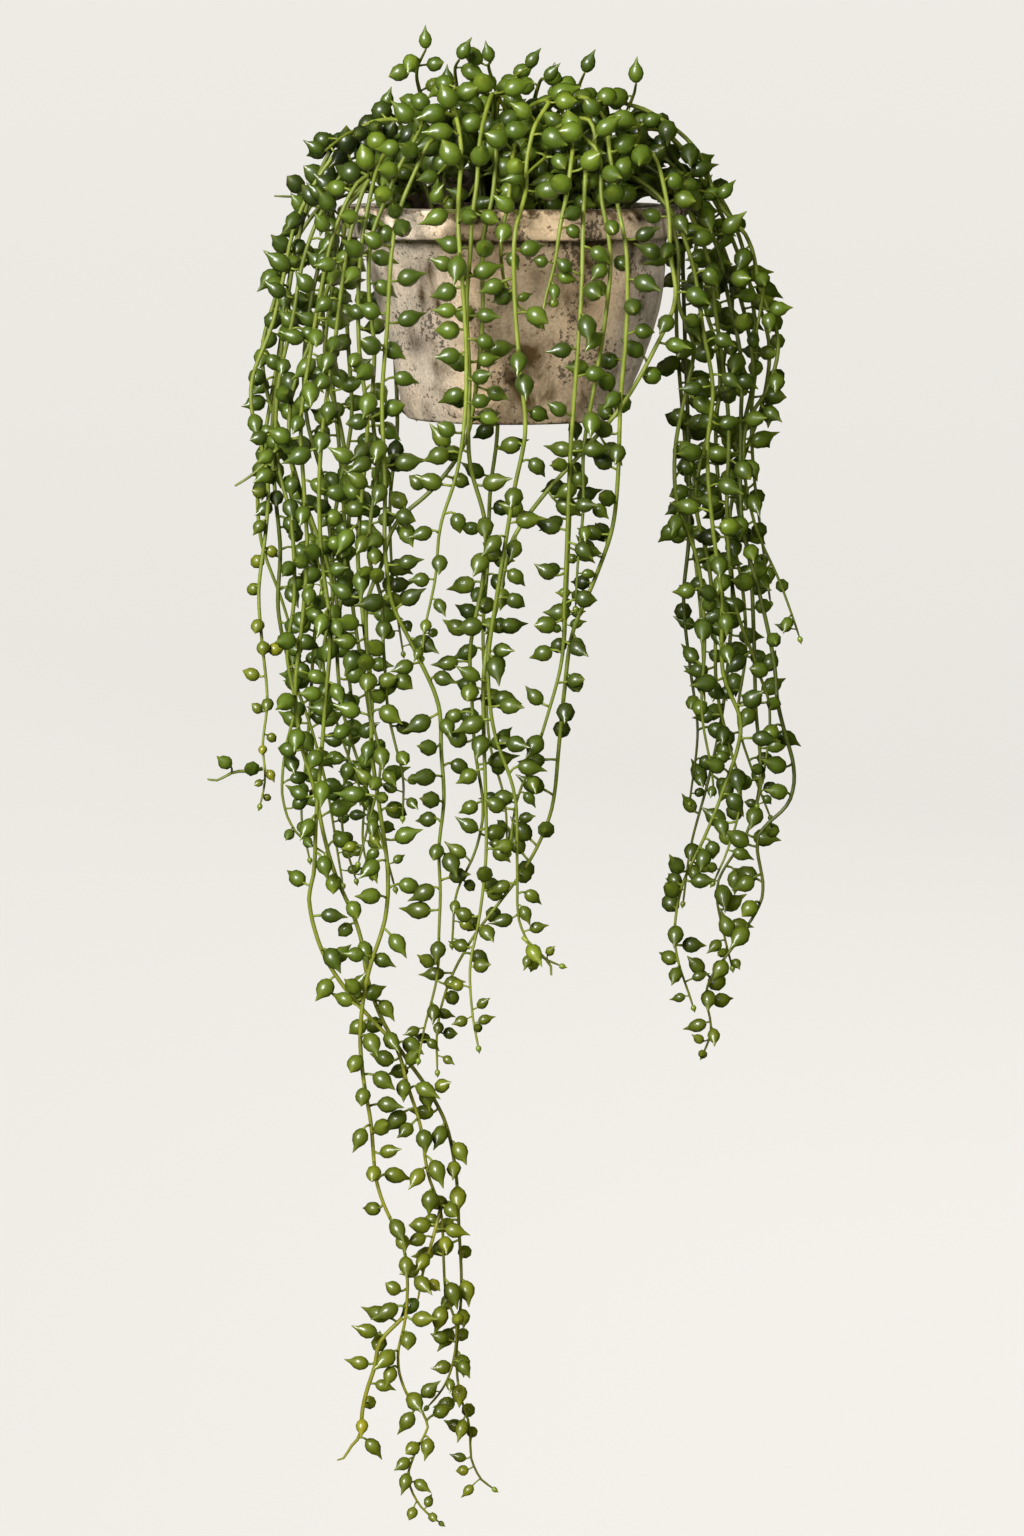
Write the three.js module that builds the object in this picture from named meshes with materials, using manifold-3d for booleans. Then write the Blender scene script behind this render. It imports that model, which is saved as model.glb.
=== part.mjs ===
// Potted string of pearls: a terracotta pot with a rim band, potting soil with a plain
// hole for every stem, and leafy stems that rise from the soil in a mound, pass over the
// rim and hang down on all sides.
// Millimetres, +Z up, origin at the middle of the pot's flat foot. The best side faces -Y.
import * as THREE from 'three';
import * as BufferGeometryUtils from 'three/addons/utils/BufferGeometryUtils.js';
import Module from 'manifold-3d';

const wasm = await Module();
wasm.setup();

// Pot: a round wall with a little belly, a plain rim band and holes in the floor. The wall
// was shaped by hand, so it leans to one side and dips in waves around it.
const POT_HEIGHT = 83;
const FOOT_RADIUS = 42;
const BODY_TOP_RADIUS = 60;
const BELLY = 2.2;
const RIM_RADIUS = 68.5;
const RIM_BOTTOM = 71;
const RIM_TAPER = 1.2;
const RIM_FLARE = 0.35;
const EDGE = 1.5;
const WALL = 6.5;
const FLOOR = 8;
const BODY_HEIGHTS = [14, 30, 46, 60];
const POT_SIDES = 28;
const LEAN = 3;
const DIP = 0.7;
const DIP_WAVES = [{ around: 3, rise: 17, shift: 0 }, { around: 5, rise: -11, shift: 2 }];
const DRAIN_COUNT = 3;
const DRAIN_RADIUS = 4;
const DRAIN_CIRCLE = 23;
const DRAIN_SIDES = 10;

// Soil: it fills the pot and rises a little in the middle. Each stem stands in a hole.
const GAP = 0.3;
const SOIL_EDGE = 77;
const SOIL_RISE = 10;
const HOLE_RADIUS = 2.4;
const HOLE_DEPTH = 9;
const HOLE_SIDES = 4;

// Stems: three flat sides, in short samples while they are bent clear of each other
const STEM_RADIUS = 1.25;
const TIP_RADIUS = 0.75;
const STEM_SIDES = 3;
const SAMPLE = 5;
const ROOTED_SAMPLES = 3;
const STEM_SPACING = 6.4;
const STEM_ROOM = 4.6;
const BEND_ROUNDS = 140;
const SPREAD = 0.4;
const PUSH_EASE = new THREE.Vector3(0.5, 1, 0.3);
const ARCH_OUT = 0.35;
const ARCH_UP = 0.7;
const ARCH_LIFT = 6;
const STRAIGHT_WITHIN = 1.5;
const RIM_WITHIN = 0.7;
const RIM_NEAR = 8;

// Pearls: closer together on the mound, and smaller over the last stretch to the tip
const PEARL_RADIUS = 4.2;
const PEARL_SQUARE = 0.8;
const ROUND_LENGTH = 2.1;
const POINTED_LENGTH = 2.6;
const POINTED_SHARE = 0.35;
const DROOP = -0.15;
const PEARL_SPACING = 43;
const MOUND_SPACING = 23.5;
const MOST_HANGING = 2;
const MOST_ON_MOUND = 3;
const BARE_FOOT = 7;
const TURNS = 4;
const MOST_TURN = Math.PI / STEM_SIDES;
const YOUNG_STRETCH = 80;
const YOUNG_SIZE = 0.6;
const NECK = 2.4;
const TIP_LENGTH = 7;
const BUD_RADIUS = 2.2;
const CLEAR = 0.35;
const STEM_CLEAR = 1;
const OWN_ROOM = 1.05;
const SEED = 7;

// Each stem: its name, the place of its hole in the soil, then the points that it passes.
const STEMS = [
  ['left_01', [-22, 5], [[-55, -3, 115], [-71, -4, 100], [-84, -5, 77], [-90, -5, 52], [-94, -5, 36],
    [-102, -5, 15], [-102, -6, 2], [-99, -6, -9], [-96, -6, -26], [-97, -6, -44], [-100, -7, -68],
    [-99, -7, -87], [-97, -7, -112], [-99, -7, -130], [-98, -8, -143], [-100, -8, -153]]],
  ['left_02', [-45, -14], [[-62, -19, 99], [-74, -22, 80], [-81, -23, 61], [-85, -24, 39], [-90, -24, 18],
    [-91, -25, 1], [-90, -25, -17], [-86, -26, -38], [-85, -27, -69], [-88, -27, -91], [-85, -28, -111],
    [-89, -28, -129], [-90, -29, -148], [-85, -29, -161], [-74, -30, -169]]],
  ['left_03', [-39, -26], [[-57, -40, 94], [-67, -44, 76], [-73, -44, 52], [-77, -44, 29], [-81, -44, 2],
    [-80, -44, -25], [-79, -44, -48], [-81, -44, -75], [-84, -44, -102], [-82, -44, -123],
    [-77, -44, -141], [-73, -44, -161], [-69, -44, -175], [-60, -44, -197], [-56, -44, -219],
    [-50, -44, -235], [-42, -44, -248], [-33, -44, -261], [-26, -44, -275], [-22, -44, -296],
    [-21, -44, -316], [-20, -44, -343], [-22, -44, -367], [-21, -44, -384], [-17, -44, -398],
    [-16, -44, -413], [-12, -44, -421], [-8, -44, -424]]],
  ['left_04', [-30, -36], [[-52, -43, 97], [-61, -50, 75], [-65, -50, 52], [-68, -50, 29], [-72, -51, 3],
    [-74, -51, -24], [-73, -51, -51], [-70, -51, -78], [-72, -51, -105], [-74, -51, -129],
    [-76, -52, -152], [-77, -52, -173], [-79, -52, -183], [-74, -52, -204], [-65, -52, -219],
    [-55, -52, -231], [-45, -52, -243], [-41, -53, -257], [-36, -53, -273], [-33, -53, -293],
    [-28, -53, -308], [-27, -53, -326], [-26, -53, -342], [-22, -54, -354], [-24, -54, -372],
    [-28, -54, -381], [-33, -54, -387]]],
  ['left_05', [-22, -27], [[-47, -46, 105], [-55, -57, 81], [-58, -58, 56], [-58, -58, 30], [-55, -59, 3],
    [-57, -59, -23], [-59, -59, -46], [-57, -59, -73], [-54, -59, -100], [-54, -59, -124],
    [-51, -59, -147], [-48, -60, -171], [-49, -60, -189], [-56, -60, -212], [-59, -60, -234],
    [-58, -60, -252], [-55, -60, -271], [-53, -60, -294], [-49, -61, -306], [-43, -61, -318],
    [-41, -61, -334], [-42, -61, -350], [-45, -61, -365], [-42, -61, -379], [-33, -61, -392],
    [-38, -62, -403], [-41, -62, -414], [-36, -62, -426], [-29, -62, -432]]],
  ['left_06', [-47, -1], [[-67, 6, 108], [-78, 7, 89], [-85, 7, 65], [-89, 7, 42], [-92, 6, 18], [-95, 6, -6],
    [-94, 5, -29], [-92, 5, -53], [-93, 4, -77], [-88, 4, -101], [-80, 3, -125], [-74, 3, -149],
    [-70, 2, -174], [-68, 2, -187]]],
  ['left_07', [-22, -8], [[-62, -13, 94], [-72, -14, 70], [-78, -15, 47], [-81, -16, 23], [-80, -16, 0],
    [-74, -16, -23], [-71, -17, -47], [-69, -18, -70], [-65, -18, -94], [-63, -18, -118],
    [-66, -19, -142], [-67, -20, -162], [-62, -20, -181]]],
  ['left_08', [-14, -18], [[-54, -32, 94], [-65, -34, 69], [-70, -35, 46], [-72, -35, 23], [-66, -35, -2],
    [-63, -36, -29], [-65, -36, -57], [-68, -37, -84], [-66, -37, -111], [-59, -37, -135],
    [-52, -38, -159], [-46, -38, -181]]],
  ['left_09', [-35, -3], [[-63, 16, 104], [-72, 19, 80], [-67, 19, 53], [-65, 19, 25], [-64, 19, -3],
    [-69, 18, -30], [-74, 18, -59], [-79, 17, -87], [-81, 17, -115], [-83, 17, -139], [-85, 16, -162],
    [-82, 16, -179]]],
  ['left_10', [-45, 13], [[-66, 24, 95], [-82, 28, 79], [-89, 28, 52], [-93, 29, 25], [-98, 29, -3],
    [-102, 29, -27], [-101, 29, -52], [-93, 30, -76], [-86, 30, -100], [-81, 30, -121]]],
  ['left_11', [-40, 25], [[-59, 36, 92], [-73, 40, 68], [-76, 40, 40], [-72, 39, 8], [-69, 39, -24],
    [-67, 39, -57], [-64, 39, -85], [-59, 39, -118], [-57, 39, -137], [-60, 38, -159], [-61, 38, -178],
    [-58, 38, -190]]],
  ['left_12', [-33, 10], [[-63, 14, 93], [-84, 14, 71], [-94, 14, 45], [-99, 13, 25], [-96, 13, 4],
    [-89, 13, -14], [-83, 12, -34], [-78, 12, -54], [-76, 12, -70]]],
  ['left_13', [-31, -16], [[-57, -28, 92], [-68, -28, 62], [-76, -28, 36], [-86, -27, 9], [-87, -27, -15],
    [-78, -27, -38], [-70, -27, -65], [-74, -27, -93], [-69, -26, -117], [-63, -26, -135],
    [-58, -26, -149]]],
  ['front_01', [-10, -33], [[-32, -53, 119], [-35, -60, 110], [-41, -63, 98], [-48, -64, 85], [-53, -67, 72],
    [-54, -67, 53], [-52, -67, 30], [-53, -67, 8], [-51, -67, -15], [-54, -67, -38], [-51, -67, -65],
    [-49, -66, -88], [-49, -66, -109], [-42, -66, -132], [-42, -66, -148]]],
  ['front_02', [-19, -43], [[-31, -62, 109], [-36, -63, 102], [-42, -66, 85], [-45, -74, 68], [-47, -74, 38],
    [-49, -73, 12], [-48, -73, -18], [-48, -73, -49], [-46, -73, -64], [-37, -73, -83], [-28, -73, -104],
    [-27, -73, -122], [-26, -73, -141], [-28, -72, -160], [-27, -72, -186], [-29, -72, -211],
    [-34, -72, -231], [-36, -72, -242]]],
  ['front_03', [7, -8], [[-23, -48, 127], [-20, -62, 113], [-19, -70, 94], [-20, -80, 78], [-18, -80, 50],
    [-17, -80, 24], [-18, -81, 3], [-21, -81, -16], [-27, -81, -35], [-29, -81, -55], [-33, -82, -74],
    [-34, -82, -84]]],
  ['front_04', [-6, -9], [[-8, -53, 125], [-12, -65, 109], [-14, -72, 90], [-15, -76, 72], [-17, -75, 50],
    [-16, -75, 20], [-16, -74, -11], [-10, -74, -35], [-11, -73, -56], [-15, -73, -78], [-15, -72, -99],
    [-14, -72, -122], [-11, -71, -145], [-14, -71, -161], [-22, -70, -179], [-24, -70, -197]]],
  ['front_05', [-2, -23], [[14, -55, 123], [8, -63, 113], [5, -73, 90], [1, -82, 74], [1, -82, 50],
    [3, -83, 24], [5, -83, 1], [1, -83, -20], [-3, -83, -44], [-6, -83, -63], [-9, -83, -86],
    [-7, -83, -112], [1, -84, -137], [2, -84, -166], [3, -84, -187], [10, -84, -199], [18, -84, -203]]],
  ['front_06', [20, -42], [[24, -65, 105], [21, -71, 90], [18, -75, 77], [16, -75, 63], [12, -74, 48],
    [11, -74, 42]]],
  ['front_07', [7, -46], [[29, -57, 116], [29, -66, 101], [27, -71, 85], [26, -79, 52], [24, -79, 22],
    [22, -78, -8], [21, -78, -37], [20, -78, -63], [19, -77, -86], [14, -77, -106], [8, -77, -125],
    [2, -76, -140], [-1, -76, -160]]],
  ['front_08', [11, -20], [[29, -50, 124], [35, -60, 109], [40, -67, 83], [43, -71, 66], [43, -71, 38],
    [41, -70, 12], [40, -70, -19], [38, -70, -37], [32, -69, -55], [23, -69, -77], [20, -69, -99],
    [18, -68, -120], [15, -68, -146], [7, -68, -165], [-5, -67, -182], [-16, -67, -197],
    [-25, -67, -215], [-29, -66, -232], [-29, -66, -248]]],
  ['front_09', [16, -31], [[29, -62, 109], [33, -69, 88], [37, -71, 68], [35, -72, 42], [31, -72, 17],
    [27, -72, -7], [27, -73, -29], [25, -74, -49], [24, -74, -66]]],
  ['front_10', [31, -35], [[52, -50, 105], [59, -52, 84], [60, -55, 66], [62, -57, 49], [54, -59, 30],
    [41, -62, 8], [28, -64, -7], [11, -66, -26], [0, -69, -42], [-5, -71, -64], [-11, -74, -87],
    [-11, -76, -110], [-10, -78, -140], [-10, -81, -163], [-13, -83, -188], [-16, -85, -203],
    [-15, -88, -222], [-13, -90, -233]]],
  ['front_11', [-6, -47], [[-5, -64, 113], [-7, -71, 90], [-11, -70, 72], [-11, -70, 46], [-13, -69, 21],
    [-18, -69, -5], [-30, -69, -22], [-44, -68, -35], [-51, -68, -53], [-55, -68, -77], [-53, -67, -103],
    [-50, -67, -126], [-55, -66, -151], [-59, -66, -166]]],
  ['front_12', [3, -35], [[1, -68, 105], [-1, -73, 87], [-4, -72, 72], [-3, -72, 57], [2, -71, 47],
    [9, -70, 43]]],
  ['right_01', [40, -25], [[51, -37, 90], [63, -39, 71], [64, -39, 46], [70, -38, 30], [67, -38, 13],
    [63, -37, -10], [64, -37, -31], [72, -36, -53], [75, -36, -84], [74, -35, -112], [78, -35, -135],
    [79, -34, -143]]],
  ['right_02', [10, 4], [[42, -5, 124], [57, -6, 117], [72, -7, 104], [81, -9, 83], [92, -10, 70],
    [97, -11, 50], [104, -12, 31], [100, -12, 12], [92, -13, -1], [91, -14, -20], [96, -14, -43],
    [105, -15, -63], [111, -15, -79], [113, -16, -85]]],
  ['right_03', [45, -13], [[55, -16, 104], [70, -19, 88], [79, -21, 68], [84, -21, 47], [89, -22, 24],
    [89, -22, 1], [88, -23, -23], [91, -23, -46], [97, -24, -68], [102, -24, -91], [103, -24, -109],
    [111, -25, -137], [109, -25, -150], [97, -26, -163], [99, -26, -187], [89, -27, -205],
    [77, -27, -224], [79, -28, -241], [76, -28, -250]]],
  ['right_04', [33, -10], [[53, -26, 98], [66, -28, 84], [75, -28, 65], [79, -27, 40], [83, -26, 12],
    [85, -25, -15], [84, -25, -42], [88, -24, -74], [97, -23, -97], [102, -22, -110], [100, -21, -134],
    [97, -20, -151]]],
  ['right_05', [27, -22], [[49, -42, 93], [61, -46, 81], [69, -47, 61], [73, -46, 37], [77, -46, 14],
    [75, -45, -9], [77, -45, -36], [81, -44, -67], [82, -43, -97], [89, -43, -116], [82, -42, -143],
    [75, -42, -161], [66, -41, -182], [64, -41, -204], [71, -40, -228]]],
  ['right_06', [23, 1], [[55, 3, 108], [74, 3, 86], [84, 3, 63], [92, 2, 38], [95, 1, 15], [90, 0, -9],
    [89, 0, -33], [94, -1, -56], [96, -2, -88], [97, -2, -116], [99, -3, -144], [94, -4, -165],
    [82, -5, -186], [85, -5, -207], [88, -6, -219]]],
  ['right_07', [20, -11], [[55, -13, 93], [68, -14, 73], [74, -13, 47], [80, -13, 27], [81, -12, 8],
    [75, -12, -12], [72, -11, -32], [77, -11, -55], [80, -10, -79], [81, -10, -107], [86, -9, -129],
    [91, -9, -149], [86, -8, -172], [81, -8, -184]]],
  ['right_08', [19, 14], [[52, 10, 116], [76, 12, 94], [89, 13, 72], [95, 12, 45], [97, 12, 25],
    [95, 12, 2], [96, 11, -22], [99, 10, -46], [103, 10, -74]]],
  ['right_09', [45, 14], [[55, 22, 100], [67, 25, 82], [68, 25, 57], [69, 25, 29], [70, 24, 5],
    [71, 24, -23], [71, 24, -51], [69, 23, -75], [72, 23, -104], [75, 22, -128], [72, 22, -157]]],
  ['right_10', [31, 16], [[57, 32, 94], [77, 36, 74], [88, 35, 48], [85, 35, 20], [82, 35, -8],
    [84, 34, -36], [89, 34, -68], [88, 33, -97], [85, 33, -125], [80, 33, -150], [73, 32, -177],
    [70, 32, -200]]],
  ['right_11', [35, 3], [[58, 15, 112], [80, 19, 84], [92, 20, 57], [102, 19, 29], [100, 19, 5],
    [92, 19, -19], [87, 19, -43], [92, 19, -67], [94, 19, -95], [91, 18, -123], [97, 18, -144],
    [104, 18, -162]]],
  ['back_01', [-3, 35], [[-5, 64, 111], [-6, 73, 87], [-6, 75, 67], [-7, 74, 34], [-6, 74, -11],
    [-9, 73, -36], [-10, 73, -64], [-12, 72, -94], [-11, 72, -119], [-9, 71, -142], [-3, 71, -165],
    [-2, 70, -186]]],
  ['back_02', [-20, 42], [[-35, 61, 107], [-43, 65, 87], [-46, 68, 63], [-48, 67, 31], [-47, 65, -10],
    [-50, 64, -39], [-49, 63, -72], [-45, 62, -101]]],
  ['back_03', [-7, 46], [[-23, 66, 103], [-26, 71, 85], [-27, 75, 63], [-25, 75, 34], [-26, 74, 8],
    [-25, 74, -2]]],
  ['back_04', [6, 45], [[8, 61, 107], [8, 73, 88], [7, 78, 63], [5, 77, 34], [7, 76, 1]]],
  ['back_05', [10, 33], [[26, 64, 107], [25, 71, 87], [24, 72, 63], [25, 71, 30], [24, 69, -11],
    [24, 68, -39], [23, 67, -68], [22, 66, -97]]],
  ['back_06', [19, 43], [[40, 61, 103], [42, 66, 83], [43, 68, 63], [41, 68, 35], [38, 67, 10],
    [37, 66, 0]]],
  ['back_07', [30, 36], [[54, 57, 99], [63, 56, 81], [66, 56, 59], [67, 55, 27], [70, 53, -9],
    [73, 52, -46], [77, 51, -83], [79, 50, -120]]],
  ['mound_01', [-27, 22], [[-33, 10, 119], [-37, -8, 134], [-33, -20, 143]]],
  ['mound_02', [-16, 16], [[-20, 2, 122], [-22, -16, 135], [-20, -32, 139]]],
  ['mound_03', [-1, 11], [[-5, -4, 124], [-9, -22, 136], [-8, -36, 138]]],
  ['mound_04', [8, 21], [[8, 6, 120], [11, -12, 131], [13, -30, 131]]],
  ['mound_05', [22, 25], [[23, 16, 114], [26, 0, 128], [28, -18, 134]]],
  ['mound_06', [39, 26], [[42, 14, 110], [46, 0, 122], [48, -14, 130]]],
  ['mound_07', [-12, -40], [[-13, -52, 100], [-20, -62, 103], [-28, -70, 96]]],
  ['mound_08', [14, -38], [[15, -54, 102], [10, -66, 102], [4, -74, 95]]],
  ['mound_09', [40, -5], [[47, -14, 102], [49, -28, 113], [43, -44, 112]]],
  ['mound_10', [-38, -9], [[-48, -16, 106], [-60, -26, 112], [-72, -36, 104]]],
  ['mound_11', [-16, 31], [[-19, 37, 104], [-26, 36, 117], [-25, 22, 128]]],
  ['mound_12', [-5, 23], [[-6, 26, 112], [-4, 18, 128], [6, 6, 136]]],
  ['mound_13', [12, 41], [[18, 46, 106], [20, 42, 120], [16, 26, 129]]],
  ['mound_14', [-31, 35], [[-38, 40, 106], [-46, 32, 116], [-50, 18, 120]]],
];

// Colours of the finishes
const POT_FINISH = { color: 0xb3a189, roughness: 0.85, metalness: 0 };
const SOIL_FINISH = { color: 0x2a211a, roughness: 1, metalness: 0 };
const PLANT_FINISH = { color: 0x55702f, roughness: 0.45, metalness: 0 };

// A repeatable source of random numbers from 0 to 1
function randomFrom(seed) {
  let state = seed;
  return () => {
    state = (state + 0x6d2b79f5) | 0;
    let mixed = Math.imul(state ^ (state >>> 15), 1 | state);
    mixed = (mixed + Math.imul(mixed ^ (mixed >>> 7), 61 | mixed)) ^ mixed;
    return ((mixed ^ (mixed >>> 14)) >>> 0) / 4294967296;
  };
}

// Closed geometry to solid and back
function toSolid(geometry) {
  const bare = new THREE.BufferGeometry();
  bare.setAttribute('position', geometry.attributes.position);
  bare.setIndex(geometry.index);
  const merged = BufferGeometryUtils.mergeVertices(bare, 1e-4);
  return new wasm.Manifold(new wasm.Mesh({
    numProp: 3,
    vertProperties: new Float32Array(merged.attributes.position.array),
    triVerts: new Uint32Array(merged.index.array),
  }));
}

function toGeometry(solid) {
  const mesh = solid.getMesh();
  const geometry = new THREE.BufferGeometry();
  geometry.setAttribute('position', new THREE.BufferAttribute(mesh.vertProperties, 3));
  geometry.setIndex(new THREE.BufferAttribute(mesh.triVerts, 1));
  return geometry;
}

// A profile of [radius, height] points turned about the pot's axis
function turned(profile) {
  const points = profile.map(([radius, height]) => new THREE.Vector2(radius, height));
  const lathe = new THREE.LatheGeometry(points, POT_SIDES);
  return lathe.rotateX(Math.PI / 2);
}

// Outer radius of the pot's wall at a height, without its dents
function wallRadius(height) {
  if (height > RIM_BOTTOM) return RIM_RADIUS;
  const up = THREE.MathUtils.clamp(height / RIM_BOTTOM, 0, 1);
  const belly = BELLY * Math.sin(Math.PI * up);
  return THREE.MathUtils.lerp(FOOT_RADIUS, BODY_TOP_RADIUS, up) + belly;
}

// Height of the soil at a distance from the axis
function soilHeight(distance) {
  const inward = Math.cos(Math.min(1, distance / innerRadius(SOIL_EDGE)) * Math.PI / 2);
  return SOIL_EDGE + SOIL_RISE * inward;
}

// Inner radius of the pot's wall at a height
function innerRadius(height) {
  const flare = RIM_FLARE * Math.max(0, height - RIM_BOTTOM);
  return wallRadius(Math.min(height, RIM_BOTTOM)) - WALL + flare;
}

// The wall's lean and dips move its outside level, so the foot, the ledge under the rim
// band and the rim's top stay flat.
function dented(geometry) {
  const position = geometry.attributes.position;
  for (let i = 0; i < position.count; i++) {
    const x = position.getX(i);
    const y = position.getY(i);
    const z = position.getZ(i);
    const radius = Math.hypot(x, y);
    const outside = radius > innerRadius(z) + WALL / 2 && radius > FOOT_RADIUS - 1;
    if (!outside) continue;
    const around = Math.atan2(y, x);
    const body = Math.sin(Math.PI * THREE.MathUtils.clamp(z / POT_HEIGHT, 0, 1));
    const lean = LEAN * Math.cos(around) * body * body;
    let dips = 0;
    for (const wave of DIP_WAVES) {
      dips += DIP * body * Math.sin(wave.around * around + z / wave.rise + wave.shift);
    }
    const factor = (radius + lean + dips) / radius;
    position.setXY(i, x * factor, y * factor);
  }
  return geometry;
}

function makePot() {
  const profile = [[0, 0], [FOOT_RADIUS - EDGE, 0]];
  for (const height of [EDGE, ...BODY_HEIGHTS, RIM_BOTTOM]) profile.push([wallRadius(height), height]);
  profile.push([RIM_RADIUS - RIM_TAPER, RIM_BOTTOM], [RIM_RADIUS, POT_HEIGHT - EDGE]);
  profile.push([RIM_RADIUS - EDGE, POT_HEIGHT], [innerRadius(POT_HEIGHT) + EDGE, POT_HEIGHT]);
  const inside = [POT_HEIGHT - EDGE, RIM_BOTTOM, BODY_HEIGHTS[1]];
  for (const height of inside) profile.push([innerRadius(height), height]);
  profile.push([innerRadius(FLOOR), FLOOR], [0, FLOOR]);
  let pot = toSolid(dented(turned(profile)));
  for (let i = 0; i < DRAIN_COUNT; i++) {
    const angle = (i + 0.25) / DRAIN_COUNT * Math.PI * 2;
    const drain = new THREE.CylinderGeometry(DRAIN_RADIUS, DRAIN_RADIUS, 3 * FLOOR, DRAIN_SIDES);
    drain.rotateX(Math.PI / 2);
    drain.translate(DRAIN_CIRCLE * Math.cos(angle), DRAIN_CIRCLE * Math.sin(angle), 0);
    pot = pot.subtract(toSolid(drain));
  }
  return toGeometry(pot);
}

function makeSoil() {
  const bottom = FLOOR + GAP;
  const profile = [[0, bottom], [innerRadius(bottom) - GAP, bottom]];
  const outside = [BODY_HEIGHTS[1], RIM_BOTTOM, SOIL_EDGE];
  for (const height of outside) profile.push([innerRadius(height) - GAP, height]);
  for (const part of [0.75, 0.5, 0.25]) {
    const distance = part * innerRadius(SOIL_EDGE);
    profile.push([distance, soilHeight(distance)]);
  }
  profile.push([0, SOIL_EDGE + SOIL_RISE]);
  let soil = toSolid(turned(profile));
  for (const [, [x, y]] of STEMS) {
    const top = soilHeight(Math.hypot(x, y));
    const hole = new THREE.CylinderGeometry(HOLE_RADIUS, HOLE_RADIUS, 2 * HOLE_DEPTH, HOLE_SIDES);
    hole.rotateX(Math.PI / 2);
    hole.translate(x, y, top);
    soil = soil.subtract(toSolid(hole));
  }
  return toGeometry(soil);
}

// A stem's way: straight up out of its hole, over in an arch, then through its points.
function stemWay([, [x, y], points]) {
  const ground = soilHeight(Math.hypot(x, y));
  const [firstX, firstY, firstZ] = points[0];
  const way = [
    new THREE.Vector3(x, y, ground - HOLE_DEPTH + GAP),
    new THREE.Vector3(x, y, ground + 1),
    new THREE.Vector3(
      THREE.MathUtils.lerp(x, firstX, ARCH_OUT),
      THREE.MathUtils.lerp(y, firstY, ARCH_OUT),
      THREE.MathUtils.lerp(ground, firstZ, ARCH_UP) + ARCH_LIFT,
    ),
  ];
  for (const [px, py, pz] of points) way.push(new THREE.Vector3(px, py, pz));
  const curve = new THREE.CatmullRomCurve3(way, false, 'centripetal');
  const count = Math.round(curve.getLength() / SAMPLE);
  return curve.getSpacedPoints(count);
}

// Stems that would run through each other, the pot or the soil are bent clear: samples
// that are too close push each other apart, mostly level, and each push is spread along
// its stem.
function bendClear(ways) {
  for (let round = 0; round < BEND_ROUNDS; round++) {
    const pushes = ways.map((way) => way.map(() => new THREE.Vector3()));
    for (let a = 0; a < ways.length; a++) {
      for (let b = a + 1; b < ways.length; b++) pushApart(ways[a], ways[b], pushes[a], pushes[b]);
    }
    ways.forEach((way, a) => spreadPush(way, pushes[a]));
  }
}

function pushApart(wayA, wayB, pushA, pushB) {
  const apart = new THREE.Vector3();
  for (let i = ROOTED_SAMPLES; i < wayA.length; i++) {
    for (let j = ROOTED_SAMPLES; j < wayB.length; j++) {
      if (Math.abs(wayA[i].z - wayB[j].z) > STEM_SPACING) continue;
      apart.subVectors(wayA[i], wayB[j]);
      const distance = apart.length();
      if (distance >= STEM_SPACING) continue;
      apart.multiply(PUSH_EASE).normalize().multiplyScalar((STEM_SPACING - distance) / 2);
      pushA[i].add(apart);
      pushB[j].sub(apart);
    }
  }
}

function spreadPush(way, push) {
  for (let pass = 0; pass < 2; pass++) {
    for (let i = 1; i + 1 < push.length; i++) {
      push[i].lerp(push[i - 1].clone().add(push[i + 1]).multiplyScalar(0.5), SPREAD);
    }
  }
  for (let i = ROOTED_SAMPLES; i < way.length; i++) {
    way[i].add(push[i]);
    keepOffPot(way[i], STEM_ROOM);
  }
}

// Moves a point of a stem outward from the pot's wall, or up from its rim and the soil,
// whichever is the shorter way.
function keepOffPot(point, room) {
  const distance = Math.hypot(point.x, point.y);
  if (distance < innerRadius(SOIL_EDGE) - room) {
    if (point.z > SOIL_EDGE) point.z = Math.max(point.z, soilHeight(distance) + room);
    return;
  }
  const onRim = point.z > RIM_BOTTOM - room;
  const wall = onRim ? RIM_RADIUS : wallRadius(point.z) + LEAN + 2 * DIP;
  const outward = wall + room - distance;
  const upward = POT_HEIGHT + room - point.z;
  if (outward <= 0 || upward <= 0 || point.z < -room) return;
  if (onRim && upward < outward) {
    point.z += upward;
  } else {
    point.x *= 1 + outward / distance;
    point.y *= 1 + outward / distance;
  }
}

// The way of a stem with its length up to each sample and a side that doesn't twist
function measured(way) {
  const lengths = [0];
  const sides = [];
  const side = new THREE.Vector3(1, 0, 0);
  way.forEach((point, i) => {
    if (i > 0) lengths.push(lengths[i - 1] + point.distanceTo(way[i - 1]));
    const along = way[Math.min(i + 1, way.length - 1)].clone().sub(way[Math.max(i - 1, 0)]).normalize();
    side.addScaledVector(along, -side.dot(along)).normalize();
    sides.push(side.clone());
  });
  return { way, lengths, sides, total: lengths[lengths.length - 1] };
}

// Place and directions at a length along a stem
function placeAt({ way, lengths, sides }, at) {
  let i = 1;
  while (i < way.length - 1 && lengths[i] < at) i++;
  const part = (at - lengths[i - 1]) / (lengths[i] - lengths[i - 1]);
  const point = way[i - 1].clone().lerp(way[i], part);
  const along = way[i].clone().sub(way[i - 1]).normalize();
  const side = sides[i - 1].clone().lerp(sides[i], part);
  side.addScaledVector(along, -side.dot(along)).normalize();
  return { point, along, side, across: along.clone().cross(side) };
}

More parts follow.
